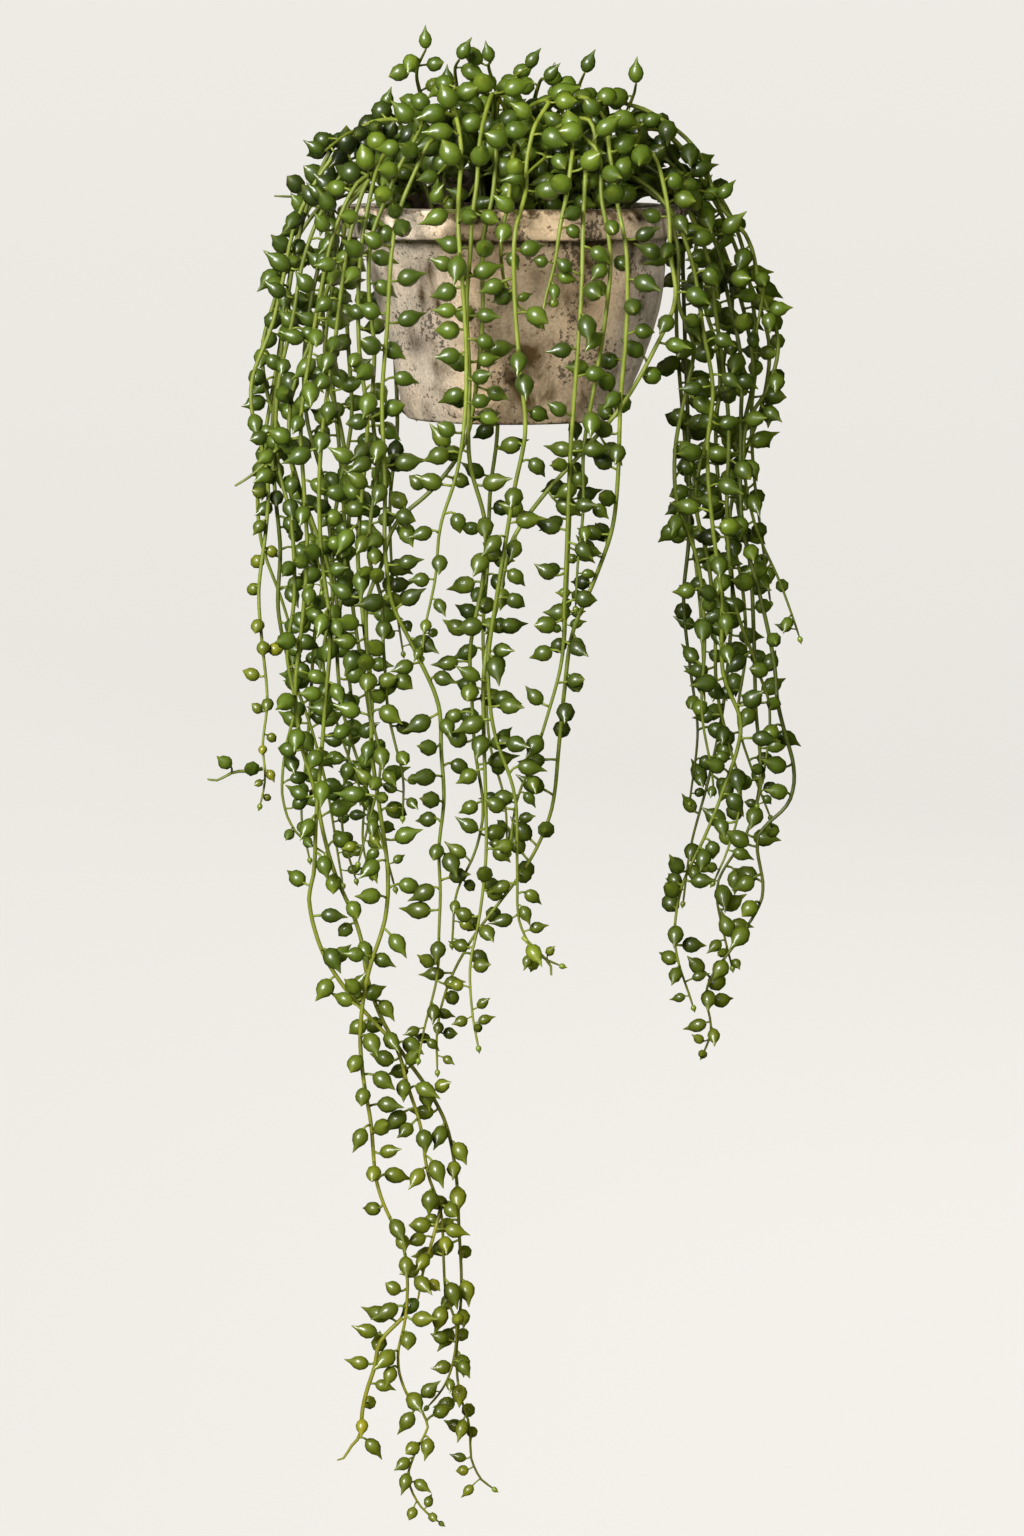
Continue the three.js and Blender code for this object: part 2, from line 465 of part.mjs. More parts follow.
// Whether a ball of this radius stays clear of the pot and the soil
function clearOfPot(centre, radius) {
  const distance = Math.hypot(centre.x, centre.y);
  if (centre.z > POT_HEIGHT - 1) {
    const inside = distance < innerRadius(SOIL_EDGE) - radius;
    if (inside) return centre.z > soilHeight(distance) + radius + CLEAR;
    return centre.z > POT_HEIGHT + radius + CLEAR || distance > RIM_RADIUS + radius + CLEAR;
  }
  if (centre.z < -radius) return true;
  const wall = centre.z > RIM_BOTTOM - radius ? RIM_RADIUS : wallRadius(centre.z) + LEAN + 2 * DIP;
  return distance > wall + radius + CLEAR;
}

function distanceToWay(point, way) {
  let nearest = Infinity;
  for (let i = 0; i < way.length; i += 2) nearest = Math.min(nearest, way[i].distanceTo(point));
  if (nearest > 4 * SAMPLE) return nearest;
  const spot = new THREE.Vector3();
  for (let i = 0; i + 1 < way.length; i++) {
    new THREE.Line3(way[i], way[i + 1]).closestPointToPoint(point, true, spot);
    nearest = Math.min(nearest, spot.distanceTo(point));
  }
  return nearest;
}

// A pearl is welcome where it touches neither the pot, nor another pearl or stem.
function isClear(pearl, own, stems, pearls) {
  if (!clearOfPot(pearl.centre, pearl.radius) || !clearOfPot(pearl.tip, CLEAR)) return false;
  for (const other of pearls) {
    if (other.centre.distanceTo(pearl.centre) > 4 * PEARL_RADIUS) continue;
    if (other.centre.distanceTo(pearl.centre) < other.radius + pearl.radius + CLEAR) return false;
    if (other.centre.distanceTo(pearl.tip) < other.radius + CLEAR) return false;
    if (other.tip.distanceTo(pearl.centre) < pearl.radius + CLEAR) return false;
  }
  for (let a = 0; a < stems.length; a++) {
    const room = a === own ? OWN_ROOM * pearl.radius : pearl.radius + STEM_RADIUS + STEM_CLEAR;
    if (distanceToWay(pearl.centre, stems[a].way) < room) return false;
    if (distanceToWay(pearl.tip, stems[a].way) < STEM_RADIUS + STEM_CLEAR) return false;
  }
  return true;
}

// The pearls that a stem could carry at one place, on the flat sides of its section
function pearlsAt(stem, own, at, turn, random, stems, pearls) {
  const { point, along, side, across } = placeAt(stem, at);
  const young = THREE.MathUtils.clamp((stem.total - at) / YOUNG_STRETCH, YOUNG_SIZE, 1);
  const radius = PEARL_RADIUS * young * (0.9 + 0.2 * random());
  const length = radius * (random() < POINTED_SHARE ? POINTED_LENGTH : ROUND_LENGTH);
  const found = [];
  for (let face = 0; face < STEM_SIDES; face++) {
    for (const lean of [0, 0.45, -0.45]) {
      const angle = turn + (face + 0.5) / STEM_SIDES * Math.PI * 2 + lean;
      const out = side.clone().multiplyScalar(Math.cos(angle));
      out.addScaledVector(across, Math.sin(angle)).addScaledVector(along, DROOP).normalize();
      const centre = point.clone().addScaledVector(out, radius + STEM_RADIUS * 0.5);
      const tip = centre.clone().addScaledVector(out, length - radius);
      const pearl = { face, centre, out, tip, along, radius };
      if (!isClear(pearl, own, stems, [...pearls, ...found])) continue;
      found.push(pearl);
      break;
    }
  }
  return found;
}

// Pearls sit all round the stems, closer together on the mound, out to the tips. The stems
// take turns, and each place is turned to the side where the most pearls are free.
function placePearls(stems) {
  const random = randomFrom(SEED);
  const pearls = [];
  const sites = stems.map(() => []);
  const next = stems.map(() => HOLE_DEPTH + BARE_FOOT + 3 * random());
  const ends = stems.map((stem) => stem.total - TIP_LENGTH - NECK);
  const turns = stems.map(() => 0);
  while (next.some((at, own) => at < ends[own])) {
    stems.forEach((stem, own) => {
      const at = next[own];
      if (at >= ends[own]) return;
      const onMound = placeAt(stem, at).point.z > POT_HEIGHT;
      const most = onMound ? MOST_ON_MOUND : MOST_HANGING;
      const start = turns[own] - MOST_TURN;
      let best = { found: [], turn: start };
      for (let t = 0; t < TURNS; t++) {
        const turn = start + 2 * MOST_TURN * (t + random()) / TURNS;
        const found = pearlsAt(stem, own, at, turn, random, stems, pearls).slice(0, most);
        if (found.length > best.found.length) best = { found, turn };
      }
      const spacing = onMound ? MOUND_SPACING : PEARL_SPACING;
      next[own] += best.found.length ? spacing * (0.85 + 0.3 * random()) : SAMPLE;
      if (!best.found.length) return;
      turns[own] = best.turn;
      pearls.push(...best.found);
      sites[own].push({ at, turn: best.turn, pearls: best.found });
    });
  }
  return sites;
}

// The sections of a stem: two close together at each place that carries pearls, and more
// where the stem bends between them
function sectionsOf(stem, sites) {
  const first = sites[0]?.turn ?? 0;
  const last = sites[sites.length - 1]?.turn ?? 0;
  const sections = [{ at: 0, turn: first }, { at: HOLE_DEPTH + 1, turn: first }];
  for (const site of sites) {
    sections.push({ at: site.at - NECK / 2, turn: site.turn, frameAt: site.at, site });
    sections.push({ at: site.at + NECK / 2, turn: site.turn, frameAt: site.at });
  }
  sections.push({ at: stem.total - TIP_LENGTH, turn: last });
  for (let s = 0; s + 1 < sections.length; s++) {
    const from = sections[s];
    const to = sections[s + 1];
    if (from.site) continue;
    const line = new THREE.Line3(placeAt(stem, from.at).point, placeAt(stem, to.at).point);
    let far = { share: 1 };
    stem.way.forEach((point, i) => {
      const at = stem.lengths[i];
      if (at < from.at + 3 || at > to.at - 3) return;
      const off = line.closestPointToPoint(point, true, new THREE.Vector3()).distanceTo(point);
      const nearRim = Math.abs(point.z - POT_HEIGHT) < RIM_NEAR;
      const share = off / (nearRim ? RIM_WITHIN : STRAIGHT_WITHIN);
      if (share > far.share) far = { share, at };
    });
    if (far.at === undefined) continue;
    const turn = THREE.MathUtils.mapLinear(far.at, from.at, to.at, from.turn, to.turn);
    sections.splice(s + 1, 0, { at: far.at, turn });
    s--;
  }
  return sections;
}

// One closed mesh of a stem with its pearls grown out of its sides and a bud at its tip
function growStem(stem, sites) {
  const positions = [];
  const index = [];
  const addPoint = (point) => positions.push(point.x, point.y, point.z) / 3 - 1;
  const pointAt = (i) => new THREE.Vector3().fromArray(positions, 3 * i);
  const sections = sectionsOf(stem, sites);
  const ringAt = (at, frameAt, turn, radius) => {
    const { point } = placeAt(stem, at);
    const { side, across } = placeAt(stem, frameAt);
    const ring = [];
    for (let k = 0; k < STEM_SIDES; k++) {
      const angle = turn + k / STEM_SIDES * Math.PI * 2;
      const corner = point.clone().addScaledVector(side, radius * Math.cos(angle));
      ring.push(addPoint(corner.addScaledVector(across, radius * Math.sin(angle))));
    }
    return ring;
  };
  const rings = sections.map(({ at, frameAt, turn }) => {
    const thin = Math.max(0, at / stem.total * 3 - 2);
    return ringAt(at, frameAt ?? at, turn, THREE.MathUtils.lerp(STEM_RADIUS, TIP_RADIUS, thin));
  });
  const { turn: tipTurn } = sections[sections.length - 1];
  rings.push(ringAt(stem.total - TIP_LENGTH / 2, stem.total, tipTurn, BUD_RADIUS));
  index.push(rings[0][0], rings[0][2], rings[0][1]);
  for (let s = 0; s + 1 < rings.length; s++) {
    for (let k = 0; k < STEM_SIDES; k++) {
      const next = (k + 1) % STEM_SIDES;
      const neck = [rings[s][k], rings[s][next], rings[s + 1][next], rings[s + 1][k]];
      const pearl = sections[s]?.site?.pearls.find(({ face }) => face === k);
      if (pearl) growPearl(pearl, neck, addPoint, index);
      else index.push(...splitShorter(neck, pointAt));
    }
  }
  const last = rings[rings.length - 1];
  const end = addPoint(stem.way[stem.way.length - 1]);
  for (let k = 0; k < STEM_SIDES; k++) index.push(last[k], last[(k + 1) % STEM_SIDES], end);
  const geometry = new THREE.BufferGeometry();
  geometry.setAttribute('position', new THREE.Float32BufferAttribute(positions, 3));
  geometry.setIndex(index);
  return geometry;
}

// The two triangles of a four-sided face, split along its shorter diagonal
function splitShorter([a, b, c, d], pointAt) {
  const alongFirst = pointAt(a).distanceTo(pointAt(c)) < pointAt(b).distanceTo(pointAt(d));
  return alongFirst ? [a, b, c, a, c, d] : [a, b, d, b, c, d];
}

// A pearl: from its neck on the stem to its widest ring, then to its small point
function growPearl({ centre, out, tip, along, radius }, neck, addPoint, index) {
  const up = along.clone().addScaledVector(out, -along.dot(out)).normalize();
  const across = up.clone().cross(out);
  const corners = [[-1, -1], [-1, 1], [1, 1], [1, -1]];
  const wide = corners.map(([u, v]) => {
    const corner = centre.clone().addScaledVector(up, u * radius * PEARL_SQUARE);
    return addPoint(corner.addScaledVector(across, v * radius * PEARL_SQUARE));
  });
  const point = addPoint(tip);
  for (let k = 0; k < neck.length; k++) {
    const next = (k + 1) % neck.length;
    index.push(neck[k], neck[next], wide[next], neck[k], wide[next], wide[k]);
    index.push(wide[k], wide[next], point);
  }
}

function makePlant() {
  const ways = STEMS.map(stemWay);
  bendClear(ways);
  const stems = ways.map(measured);
  const sites = placePearls(stems);
  return stems.map((stem, own) => growStem(stem, sites[own]));
}

function addMesh(group, name, geometry, finish) {
  const mesh = new THREE.Mesh(geometry, new THREE.MeshStandardMaterial(finish));
  mesh.name = name;
  group.add(mesh);
}

const plant = new THREE.Group();
addMesh(plant, 'pot', makePot(), POT_FINISH);
addMesh(plant, 'soil', makeSoil(), SOIL_FINISH);
makePlant().forEach((geometry, i) => addMesh(plant, STEMS[i][0], geometry, PLANT_FINISH));

export default plant;
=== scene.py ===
import math
import random
from functools import partial

import bmesh
import bpy
import numpy as np
from mathutils import Matrix, Vector, kdtree, noise


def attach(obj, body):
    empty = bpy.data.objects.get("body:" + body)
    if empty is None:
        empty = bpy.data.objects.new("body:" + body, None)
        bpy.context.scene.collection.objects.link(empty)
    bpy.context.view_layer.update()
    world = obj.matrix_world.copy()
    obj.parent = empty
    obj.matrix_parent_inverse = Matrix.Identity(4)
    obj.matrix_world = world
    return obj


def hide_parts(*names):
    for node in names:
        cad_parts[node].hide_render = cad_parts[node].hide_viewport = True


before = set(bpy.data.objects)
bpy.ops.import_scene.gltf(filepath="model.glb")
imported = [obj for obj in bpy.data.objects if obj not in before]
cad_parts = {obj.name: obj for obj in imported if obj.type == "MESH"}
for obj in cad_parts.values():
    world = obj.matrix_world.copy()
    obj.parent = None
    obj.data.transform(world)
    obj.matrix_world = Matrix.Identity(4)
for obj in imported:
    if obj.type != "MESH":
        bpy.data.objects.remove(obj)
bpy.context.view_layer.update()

# Camera
# The photo looks slightly down on the pot from about 1.7 m away, with a long lens.
# The image is taken to be 1024 x 1536, so the 36 mm side of the sensor stands upright.
SENSOR_SIDE = 36
HALF_ANGLE = math.radians(10.1)


def set_up(thing, place, target):
    """Puts a camera or light at a place in the scene, facing a target, in metres."""
    bpy.context.scene.collection.objects.link(thing)
    thing.location = place
    thing.rotation_euler = (Vector(target) - thing.location).to_track_quat("-Z", "Y").to_euler()


camera_data = bpy.data.cameras.new("camera")
camera_data.sensor_width = SENSOR_SIDE
camera_data.lens = SENSOR_SIDE / 2 / math.tan(HALF_ANGLE)
camera = bpy.data.objects.new("camera", camera_data)
set_up(camera, (0, -1.7, 0.128), (0, 0, -0.14))
bpy.context.scene.camera = camera
bpy.context.scene.view_settings.view_transform = "Standard"

# Room
# A round paper sweep: a pale floor that curves up into the wall on all sides, so the
# plant has the same plain ground behind it from wherever it is seen. The plant hangs
# well above the floor, as it does in the photo.
MM = 0.001
FLOOR_HEIGHT = -1150
WALL_RADIUS = 4200
WALL_TOP = 4600
SWEEP_RADIUS = 1900
SWEEP_STEPS = 16


def linear(colour):
    """A colour given as sRGB hex, in the linear values that shaders take."""
    parts = [int(colour[i:i + 2], 16) / 255 for i in (1, 3, 5)]
    return [p / 12.92 if p <= 0.04045 else ((p + 0.055) / 1.055) ** 2.4 for p in parts] + [1]


def connect(node, inputs):
    """Fills sockets, by number or name: with a value, a hex colour, an output or a node."""
    for socket, source in inputs.items():
        if hasattr(source, "outputs"):
            source = next(output for output in source.outputs if output.enabled)
        if hasattr(source, "is_output"):
            node.id_data.links.new(source, node.inputs[socket])
        else:
            node.inputs[socket].default_value = linear(source) if isinstance(source, str) else source


def add_node(tree, kind, inputs=None, stops=(), **settings):
    """Adds a node with its own settings, its inputs and the (place, colour) stops of a ramp."""
    node = tree.nodes.new("ShaderNode" + kind)
    for key, value in settings.items():
        setattr(node, key, value)
    for k, (at, colour) in enumerate(stops):
        ramp = node.color_ramp.elements
        if k == 0:
            ramp.remove(ramp[0])
        stop = ramp.new(at) if k else ramp[0]
        stop.position, stop.color = at, linear(colour)
    connect(node, inputs or {})
    return node


def new_material(name):
    """A material, add_node for its tree, its shader and the place of the point it colours."""
    material = bpy.data.materials.new(name)
    material.use_nodes = True
    add = partial(add_node, material.node_tree)
    return material, add, material.node_tree.nodes["Principled BSDF"], add("TexCoord").outputs["Object"]


def select_only(piece):
    bpy.ops.object.select_all(action="DESELECT")
    piece.select_set(True)
    bpy.context.view_layer.objects.active = piece


def turned(name, profile, steps):
    """A shape of revolution: its profile, (radius, height) in mm, spun about the Z axis."""
    mesh = bpy.data.meshes.new(name)
    points = [(r * MM, 0, z * MM) for r, z in profile]
    mesh.from_pydata(points, [(i, i + 1) for i in range(len(points) - 1)], [])
    piece = bpy.data.objects.new(name, mesh)
    bpy.context.scene.collection.objects.link(piece)
    select_only(piece)
    bpy.ops.object.mode_set(mode="EDIT")
    bpy.ops.mesh.select_all(action="SELECT")
    bpy.ops.mesh.spin(steps=steps, angle=math.tau, center=(0, 0, 0), axis=(0, 0, 1))
    bpy.ops.mesh.select_all(action="SELECT")
    bpy.ops.mesh.remove_doubles(threshold=0.00001)
    bpy.ops.mesh.normals_make_consistent(inside=False)
    bpy.ops.object.mode_set(mode="OBJECT")
    return piece


sweep_profile = [(0, FLOOR_HEIGHT)]
for step in range(SWEEP_STEPS + 1):
    angle = step / SWEEP_STEPS * math.pi / 2
    sweep_profile.append((WALL_RADIUS - SWEEP_RADIUS + SWEEP_RADIUS * math.sin(angle),
                          FLOOR_HEIGHT + SWEEP_RADIUS - SWEEP_RADIUS * math.cos(angle)))
sweep_profile.append((WALL_RADIUS, WALL_TOP))
room = turned("room_paper_sweep", sweep_profile, 96)
room.data.shade_smooth()
# Off-white background paper: matt, with no pattern that shows at this distance. It has its
# own wash of light, a little weaker on the floor, that doesn't spill onto the plant.
paper, add, shader, place = new_material("matt_background_paper")
height = add("SeparateXYZ", {0: place}).outputs[2]
wash = add("MapRange", {0: height, 1: -1.15, 2: 1.2, 3: 0.84, 4: 0.95})
connect(shader, {"Base Color": "#5c5b59", "Roughness": 0.95, "Specular IOR Level": 0.1,
                 "Emission Color": "#efece6", "Emission Strength": wash})
room.data.materials.append(paper)
room.visible_diffuse = room.visible_glossy = room.visible_shadow = False

# Light
# A large soft box up at the left in front, weaker ones at the right and behind, a faint one
# above, and pale light from all round. Each pearl carries one small soft highlight, and the
# right side of the plant falls into shade.
LIT_PLACE = (0, 0, -0.05)
for name, place, size, power in (
    ("key_soft_box", (-1.6, -2.8, 1.5), 1.6, 275),
    ("fill_soft_box", (1.6, -2.6, 0.4), 1.4, 52),
    ("top_soft_box", (-0.3, 0.3, 2.0), 1.0, 12),
    ("rear_soft_box", (0.6, 3.0, 0.8), 1.4, 90),
):
    light_data = bpy.data.lights.new(name, "AREA")
    light_data.size = size
    light_data.energy = power
    light = bpy.data.objects.new(name, light_data)
    light.visible_camera = False
    # Each pearl carries one highlight, so only the key light is mirrored
    light.visible_glossy = name == "key_soft_box"
    set_up(light, place, LIT_PLACE)
world = bpy.data.worlds.new("pale_studio")
world.use_nodes = True
connect(world.node_tree.nodes["Background"], {"Color": "#f4f1ec", "Strength": 0.09})
# The room is matt, so the waxy leaves don't mirror it
world.cycles_visibility.glossy = False
bpy.context.scene.world = world

# Pot
# A round terracotta pot with a rim band and a narrower foot, thrown and fired unglazed, worn by years of
# damp: beige-grey clay with dents, dark blotches that are partly painted shade, pits and chips.
POT_HEIGHT = 83
FOOT_RADIUS = 42
BODY_TOP_RADIUS = 60
BELLY = 2.2
RIM_RADIUS = 68.5
RIM_BOTTOM = 71
RIM_TAPER = 1.2
RIM_FLARE = 0.35
WALL = 6.5
FLOOR = 8
# The wall leans a little to the right and has shallow dips, as thrown clay does
LEAN = 3
DIP = 0.7
DIP_WAVES = ((3, 17, 0), (5, -11, 2))
# Edges are rounded to these radii
FOOT_EDGE, BAND_EDGE, RIM_EDGE = 1.5, 1.1, 1.7
# Each dent: its bearing in degrees from the front towards the right, height, width,
# height of the dent and depth, in mm
DENTS = ((-52, 60, 9, 10, 1.3), (-38, 33, 13, 15, 1.7), (-60, 24, 10, 9, 1.1), (-15, 46, 12, 16, 0.9),
         (12, 26, 15, 14, 1.0), (38, 52, 9, 15, 1.2), (58, 42, 8, 18, 1.5), (64, 20, 9, 12, 1.0),
         (28, 14, 14, 8, 0.8), (-6, 62, 15, 8, 0.7), (110, 40, 15, 16, 1.4), (150, 55, 12, 14, 1.1),
         (185, 30, 16, 15, 1.5), (230, 50, 12, 16, 1.3), (262, 28, 12, 13, 1.2))
# Soft dark smudges, partly soot and partly painted shade by the dents: bearing, height, width, height of the
# smudge and strength
SOOT_AND_SHADE_SMUDGES = ((-46, 31, 5, 4, 0.95), (-38, 24, 6, 4, 0.6), (-40, 49, 3, 7, 0.65), (-30, 45, 3, 4, 0.55),
           (-58, 57, 3, 6, 0.7), (-33, 59, 4, 4, 0.4), (-24, 33, 4, 3, 0.35), (-35, 12, 6, 3, 0.35),
           (10, 52, 4, 4, 0.5), (24, 61, 11, 5, 0.6), (7, 31, 3, 3, 0.3), (28, 44, 9, 7, 0.3),
           (60, 50, 3, 8, 0.9), (48, 15, 9, 6, 0.4), (4, 10, 7, 4, 0.4), (-12, 16, 4, 3, 0.4),
           (105, 40, 6, 10, 0.6), (150, 22, 9, 6, 0.5), (190, 52, 5, 8, 0.7), (230, 30, 6, 11, 0.6),
           (265, 48, 5, 8, 0.6))
# How much painted shade the wall gets at each bearing: the right side is browner all over, a painted shade
SIDE_SHADE_BEARINGS, SIDE_SHADE_AMOUNTS = (-42, -14, 38, 62, 110, 150), (0, 1, 1, 0.1, 0.3, 0)


def clamp(value, low=0):
    """The value, kept between low and 1."""
    return min(1, max(low, value))


def wall_radius(height):
    """Outer radius of the pot's wall, without its dents."""
    if height > RIM_BOTTOM:
        return RIM_RADIUS
    up = clamp(height / RIM_BOTTOM)
    return FOOT_RADIUS + (BODY_TOP_RADIUS - FOOT_RADIUS) * up + BELLY * math.sin(math.pi * up)


def inner_radius(height):
    """Inner radius of the pot, which widens a little behind the rim band."""
    flare = RIM_FLARE * max(0, height - RIM_BOTTOM)
    return wall_radius(min(height, RIM_BOTTOM)) - WALL + flare


def arc(centre_r, centre_z, radius, start, end, steps=4):
    """Points of a rounded edge in the profile, angles in degrees from outward to up."""
    for k in range(steps + 1):
        a = math.radians(start + (end - start) * k / steps)
        yield centre_r + radius * math.cos(a), centre_z + radius * math.sin(a)


profile = [(r, 0) for r in (0, 10, 20, 30, 36)]
profile += arc(FOOT_RADIUS - FOOT_EDGE, FOOT_EDGE, FOOT_EDGE, -90, 0)
profile += [(wall_radius(z), z) for z in np.arange(3, RIM_BOTTOM - 1.5, 1.7)]
profile += [(BODY_TOP_RADIUS + 0.1, RIM_BOTTOM - 0.9), (BODY_TOP_RADIUS + 0.9, RIM_BOTTOM)]
profile += [(63, RIM_BOTTOM), (65, RIM_BOTTOM)]
profile += arc(RIM_RADIUS - RIM_TAPER - BAND_EDGE, RIM_BOTTOM + BAND_EDGE, BAND_EDGE, -90, 0)
profile += [(RIM_RADIUS - RIM_TAPER * (POT_HEIGHT - z) / 12, z) for z in np.arange(73.5, 80.6, 1.4)]
profile += arc(RIM_RADIUS - RIM_EDGE, POT_HEIGHT - RIM_EDGE, RIM_EDGE, 0, 90)
profile += arc(inner_radius(POT_HEIGHT) + RIM_EDGE, POT_HEIGHT - RIM_EDGE, RIM_EDGE, 90, 180)
profile += [(inner_radius(z), z) for z in np.arange(79, FLOOR + 2, -3.5)]
profile += [(inner_radius(FLOOR) - 1.2, FLOOR)] + [(r, FLOOR) for r in (28, 14, 0)]
pot = turned("pot_terracotta", profile, 176)

# Three drain holes, 8 mm wide, go through the floor off its middle
for k in range(3):
    angle = (k + 0.25) / 3 * math.tau
    bpy.ops.object.select_all(action="DESELECT")
    bpy.ops.mesh.primitive_cylinder_add(vertices=24, radius=0.004, depth=0.03,
                                        location=(0.023 * math.cos(angle), 0.023 * math.sin(angle), 0.004))
    drill = bpy.context.object
    cut = pot.modifiers.new("drain", "BOOLEAN")
    cut.operation, cut.object, cut.solver = "DIFFERENCE", drill, "EXACT"
    bpy.context.view_layer.objects.active = pot
    bpy.ops.object.modifier_apply(modifier="drain")
    bpy.data.objects.remove(drill)


def marks(table, around, height, radius):
    """How strong the soft round marks of a table are at a bearing and height."""
    bearing = math.degrees(around) + 90
    total = 0
    for where, middle, wide, tall, strength in table:
        turn = (bearing - where + 180) % 360 - 180
        across = math.radians(turn) * radius / wide
        total += strength * math.exp(-across * across - ((height - middle) / tall) ** 2)
    return total


def dent_depth(around, height, radius):
    """How deep the dents are at a bearing and height, in mm. They end below the rim band."""
    return marks(DENTS, around, height, radius) * clamp((RIM_BOTTOM - 2 - height) / 6)


def is_outside(radius, height):
    """Whether a point lies on the pot's outer face."""
    return radius > inner_radius(height) + WALL / 2 and radius > FOOT_RADIUS - 1


def band(height, middle, width):
    """1 at a height on the pot, falling softly to 0 above and below it."""
    return math.exp(-((height - middle) / width) ** 2)


def dent_clay(place):
    """Where a point of the pot lies once the wall has its lean, dips, dents and wear."""
    x, y, z = place / MM
    radius = math.hypot(x, y)
    if radius < 1:
        return place
    around = math.atan2(y, x)
    outside = is_outside(radius, z)
    body = math.sin(math.pi * clamp(z / POT_HEIGHT))
    push = 0
    if outside:
        push += LEAN * math.cos(around) * body * body
        for waves, rise, shift in DIP_WAVES:
            push += DIP * body * math.sin(waves * around + z / rise + shift)
        push -= dent_depth(around, z, radius)
        push += 0.35 * body * noise.noise(Vector((x, y, z)) / 16)
    push += 0.16 * noise.noise(Vector((x, y, z)) / 5)
    down = 0
    near_edge = max(0, 1 - (POT_HEIGHT - z) / 4) if radius > inner_radius(POT_HEIGHT) - 1 else 0
    if near_edge:
        # Small chips and dips that wear has left along the rim
        worn = noise.noise(Vector((x, y, 40)) / 9) + 0.6 * noise.noise(Vector((x, y, 8)) / 3.2)
        down = near_edge * (0.25 + 1.5 * max(0, worn - 0.22))
        push -= near_edge * 1.1 * max(0, worn - 0.3) * (1 if outside else -1)
    factor = (radius + push) / radius
    return Vector((x * factor, y * factor, z - down)) * MM


soot_and_shade = pot.data.attributes.new("soot_and_shade", "FLOAT", "POINT")
painted_side_shade = pot.data.attributes.new("painted_side_shade", "FLOAT", "POINT")
crust = pot.data.attributes.new("crust", "FLOAT", "POINT")
for vertex in pot.data.vertices:
    x, y, z = vertex.co / MM
    radius = math.hypot(x, y)
    if is_outside(radius, z):
        # Painted shade darkens the dents, a line under the rim band and the front and right of the wall.
        # Soft smudges are partly soot, partly painted shade. Dirt lies along the top of the rim, and a thin
        # band at the foot is darker.
        shade_under_band = band(z, RIM_BOTTOM - 0.5, 1.6)
        lip = band(z, POT_HEIGHT, 1.3)
        foot = band(z, 0.3, 0.8)
        worn = max(0, noise.noise(Vector((x + z * 0.7, y, z * 0.3)) / 2.6) - 0.08) * clamp((z - 74.5) / 5)
        around = math.atan2(y, x)
        # Painted shade: the front and right of the wall are darker and browner
        side_shade = np.interp((math.degrees(around) + 270) % 360 - 180, SIDE_SHADE_BEARINGS, SIDE_SHADE_AMOUNTS)
        soot_and_shade.data[vertex.index].value = (0.12 * dent_depth(around, z, radius)
                                         + 0.75 * marks(SOOT_AND_SHADE_SMUDGES, around, z, radius) + 0.3 * side_shade
                                         + 0.45 * shade_under_band + 0.3 * lip + 0.4 * foot + 1.8 * worn)
        painted_side_shade.data[vertex.index].value = side_shade
        crust.data[vertex.index].value = max(clamp((z - 76) / 6), 0.8 * foot)
    if vertex.co.z > 0.0006:
        vertex.co = dent_clay(vertex.co)
pot.data.shade_smooth()
select_only(pot)
bpy.ops.object.shade_smooth_by_angle(angle=math.radians(50))

# Unglazed terracotta, aged: matt and dry, its grain about 0.4 mm. Soft dark smudges 8 to 20 mm wide, most of
# them in the dents, are partly soot and partly painted shade, and there are lime-pale patches, specks of
# soot up to 1 mm and small dark pits. A painted shade makes the front and right side browner.
terracotta, add, shader, place = new_material("aged_unglazed_terracotta")
# The first attribute holds soot, dirt and painted shade, the second a painted shade on the front and right
# side
dirt_and_shade, painted_side_shade, crust = (add("Attribute", attribute_name=label).outputs["Fac"]
                     for label in ("soot_and_shade", "painted_side_shade", "crust"))
runs = add("Mapping", {0: place, 3: (1, 1, 0.55)})
patch = add("TexNoise", {"Vector": place, "Scale": 34, "Detail": 3})
blotch = add("TexNoise", {"Vector": runs, "Scale": 75, "Detail": 5, "Roughness": 0.6, "Distortion": 0.5})
grain = add("TexNoise", {"Vector": place, "Scale": 900, "Detail": 3, "Roughness": 0.7})
fleck = add("TexNoise", {"Vector": place, "Scale": 620, "Detail": 2, "Roughness": 0.6})
where = add("TexNoise", {"Vector": place, "Scale": 60, "Detail": 3})
pits = add("TexVoronoi", {"Vector": place, "Scale": 260, "Randomness": 1})
clay = add("ValToRGB", {0: patch}, stops=((0.34, "#d6c2a8"), (0.66, "#ecdcc6")))
cloudy = add("MapRange", {0: blotch, 1: 0.5, 2: 0.78, 3: 0, 4: 0.75})
held = add("MapRange", {0: blotch, 1: 0.3, 2: 0.65, 3: 0.45, 4: 1.25})
gathered = add("Math", {0: dirt_and_shade, 1: held}, operation="MULTIPLY")
smudge = add("Math", {0: gathered, 1: cloudy}, operation="ADD", use_clamp=True)
# Painted shade browns the front and right side, and soot and painted shade darken the clay
brown = add("Mix", {0: painted_side_shade, 6: clay, 7: "#ece1cd"}, data_type="RGBA", blend_type="MULTIPLY")
stained_and_shaded = add("Mix", {0: smudge, 6: brown, 7: "#4f3e20"}, data_type="RGBA")
# Old soil has dried to a ragged crust along the rim's edge
ragged = add("TexNoise", {"Vector": place, "Scale": 230, "Detail": 4, "Roughness": 0.65})
dried = add("Math", {0: crust, 1: 0.17, 2: ragged}, operation="MULTIPLY_ADD")
crusted = add("MapRange", {0: dried, 1: 0.63, 2: 0.7, 3: 0, 4: 0.8})
muddy = add("Mix", {0: crusted, 6: stained_and_shaded, 7: "#54442a"}, data_type="RGBA")
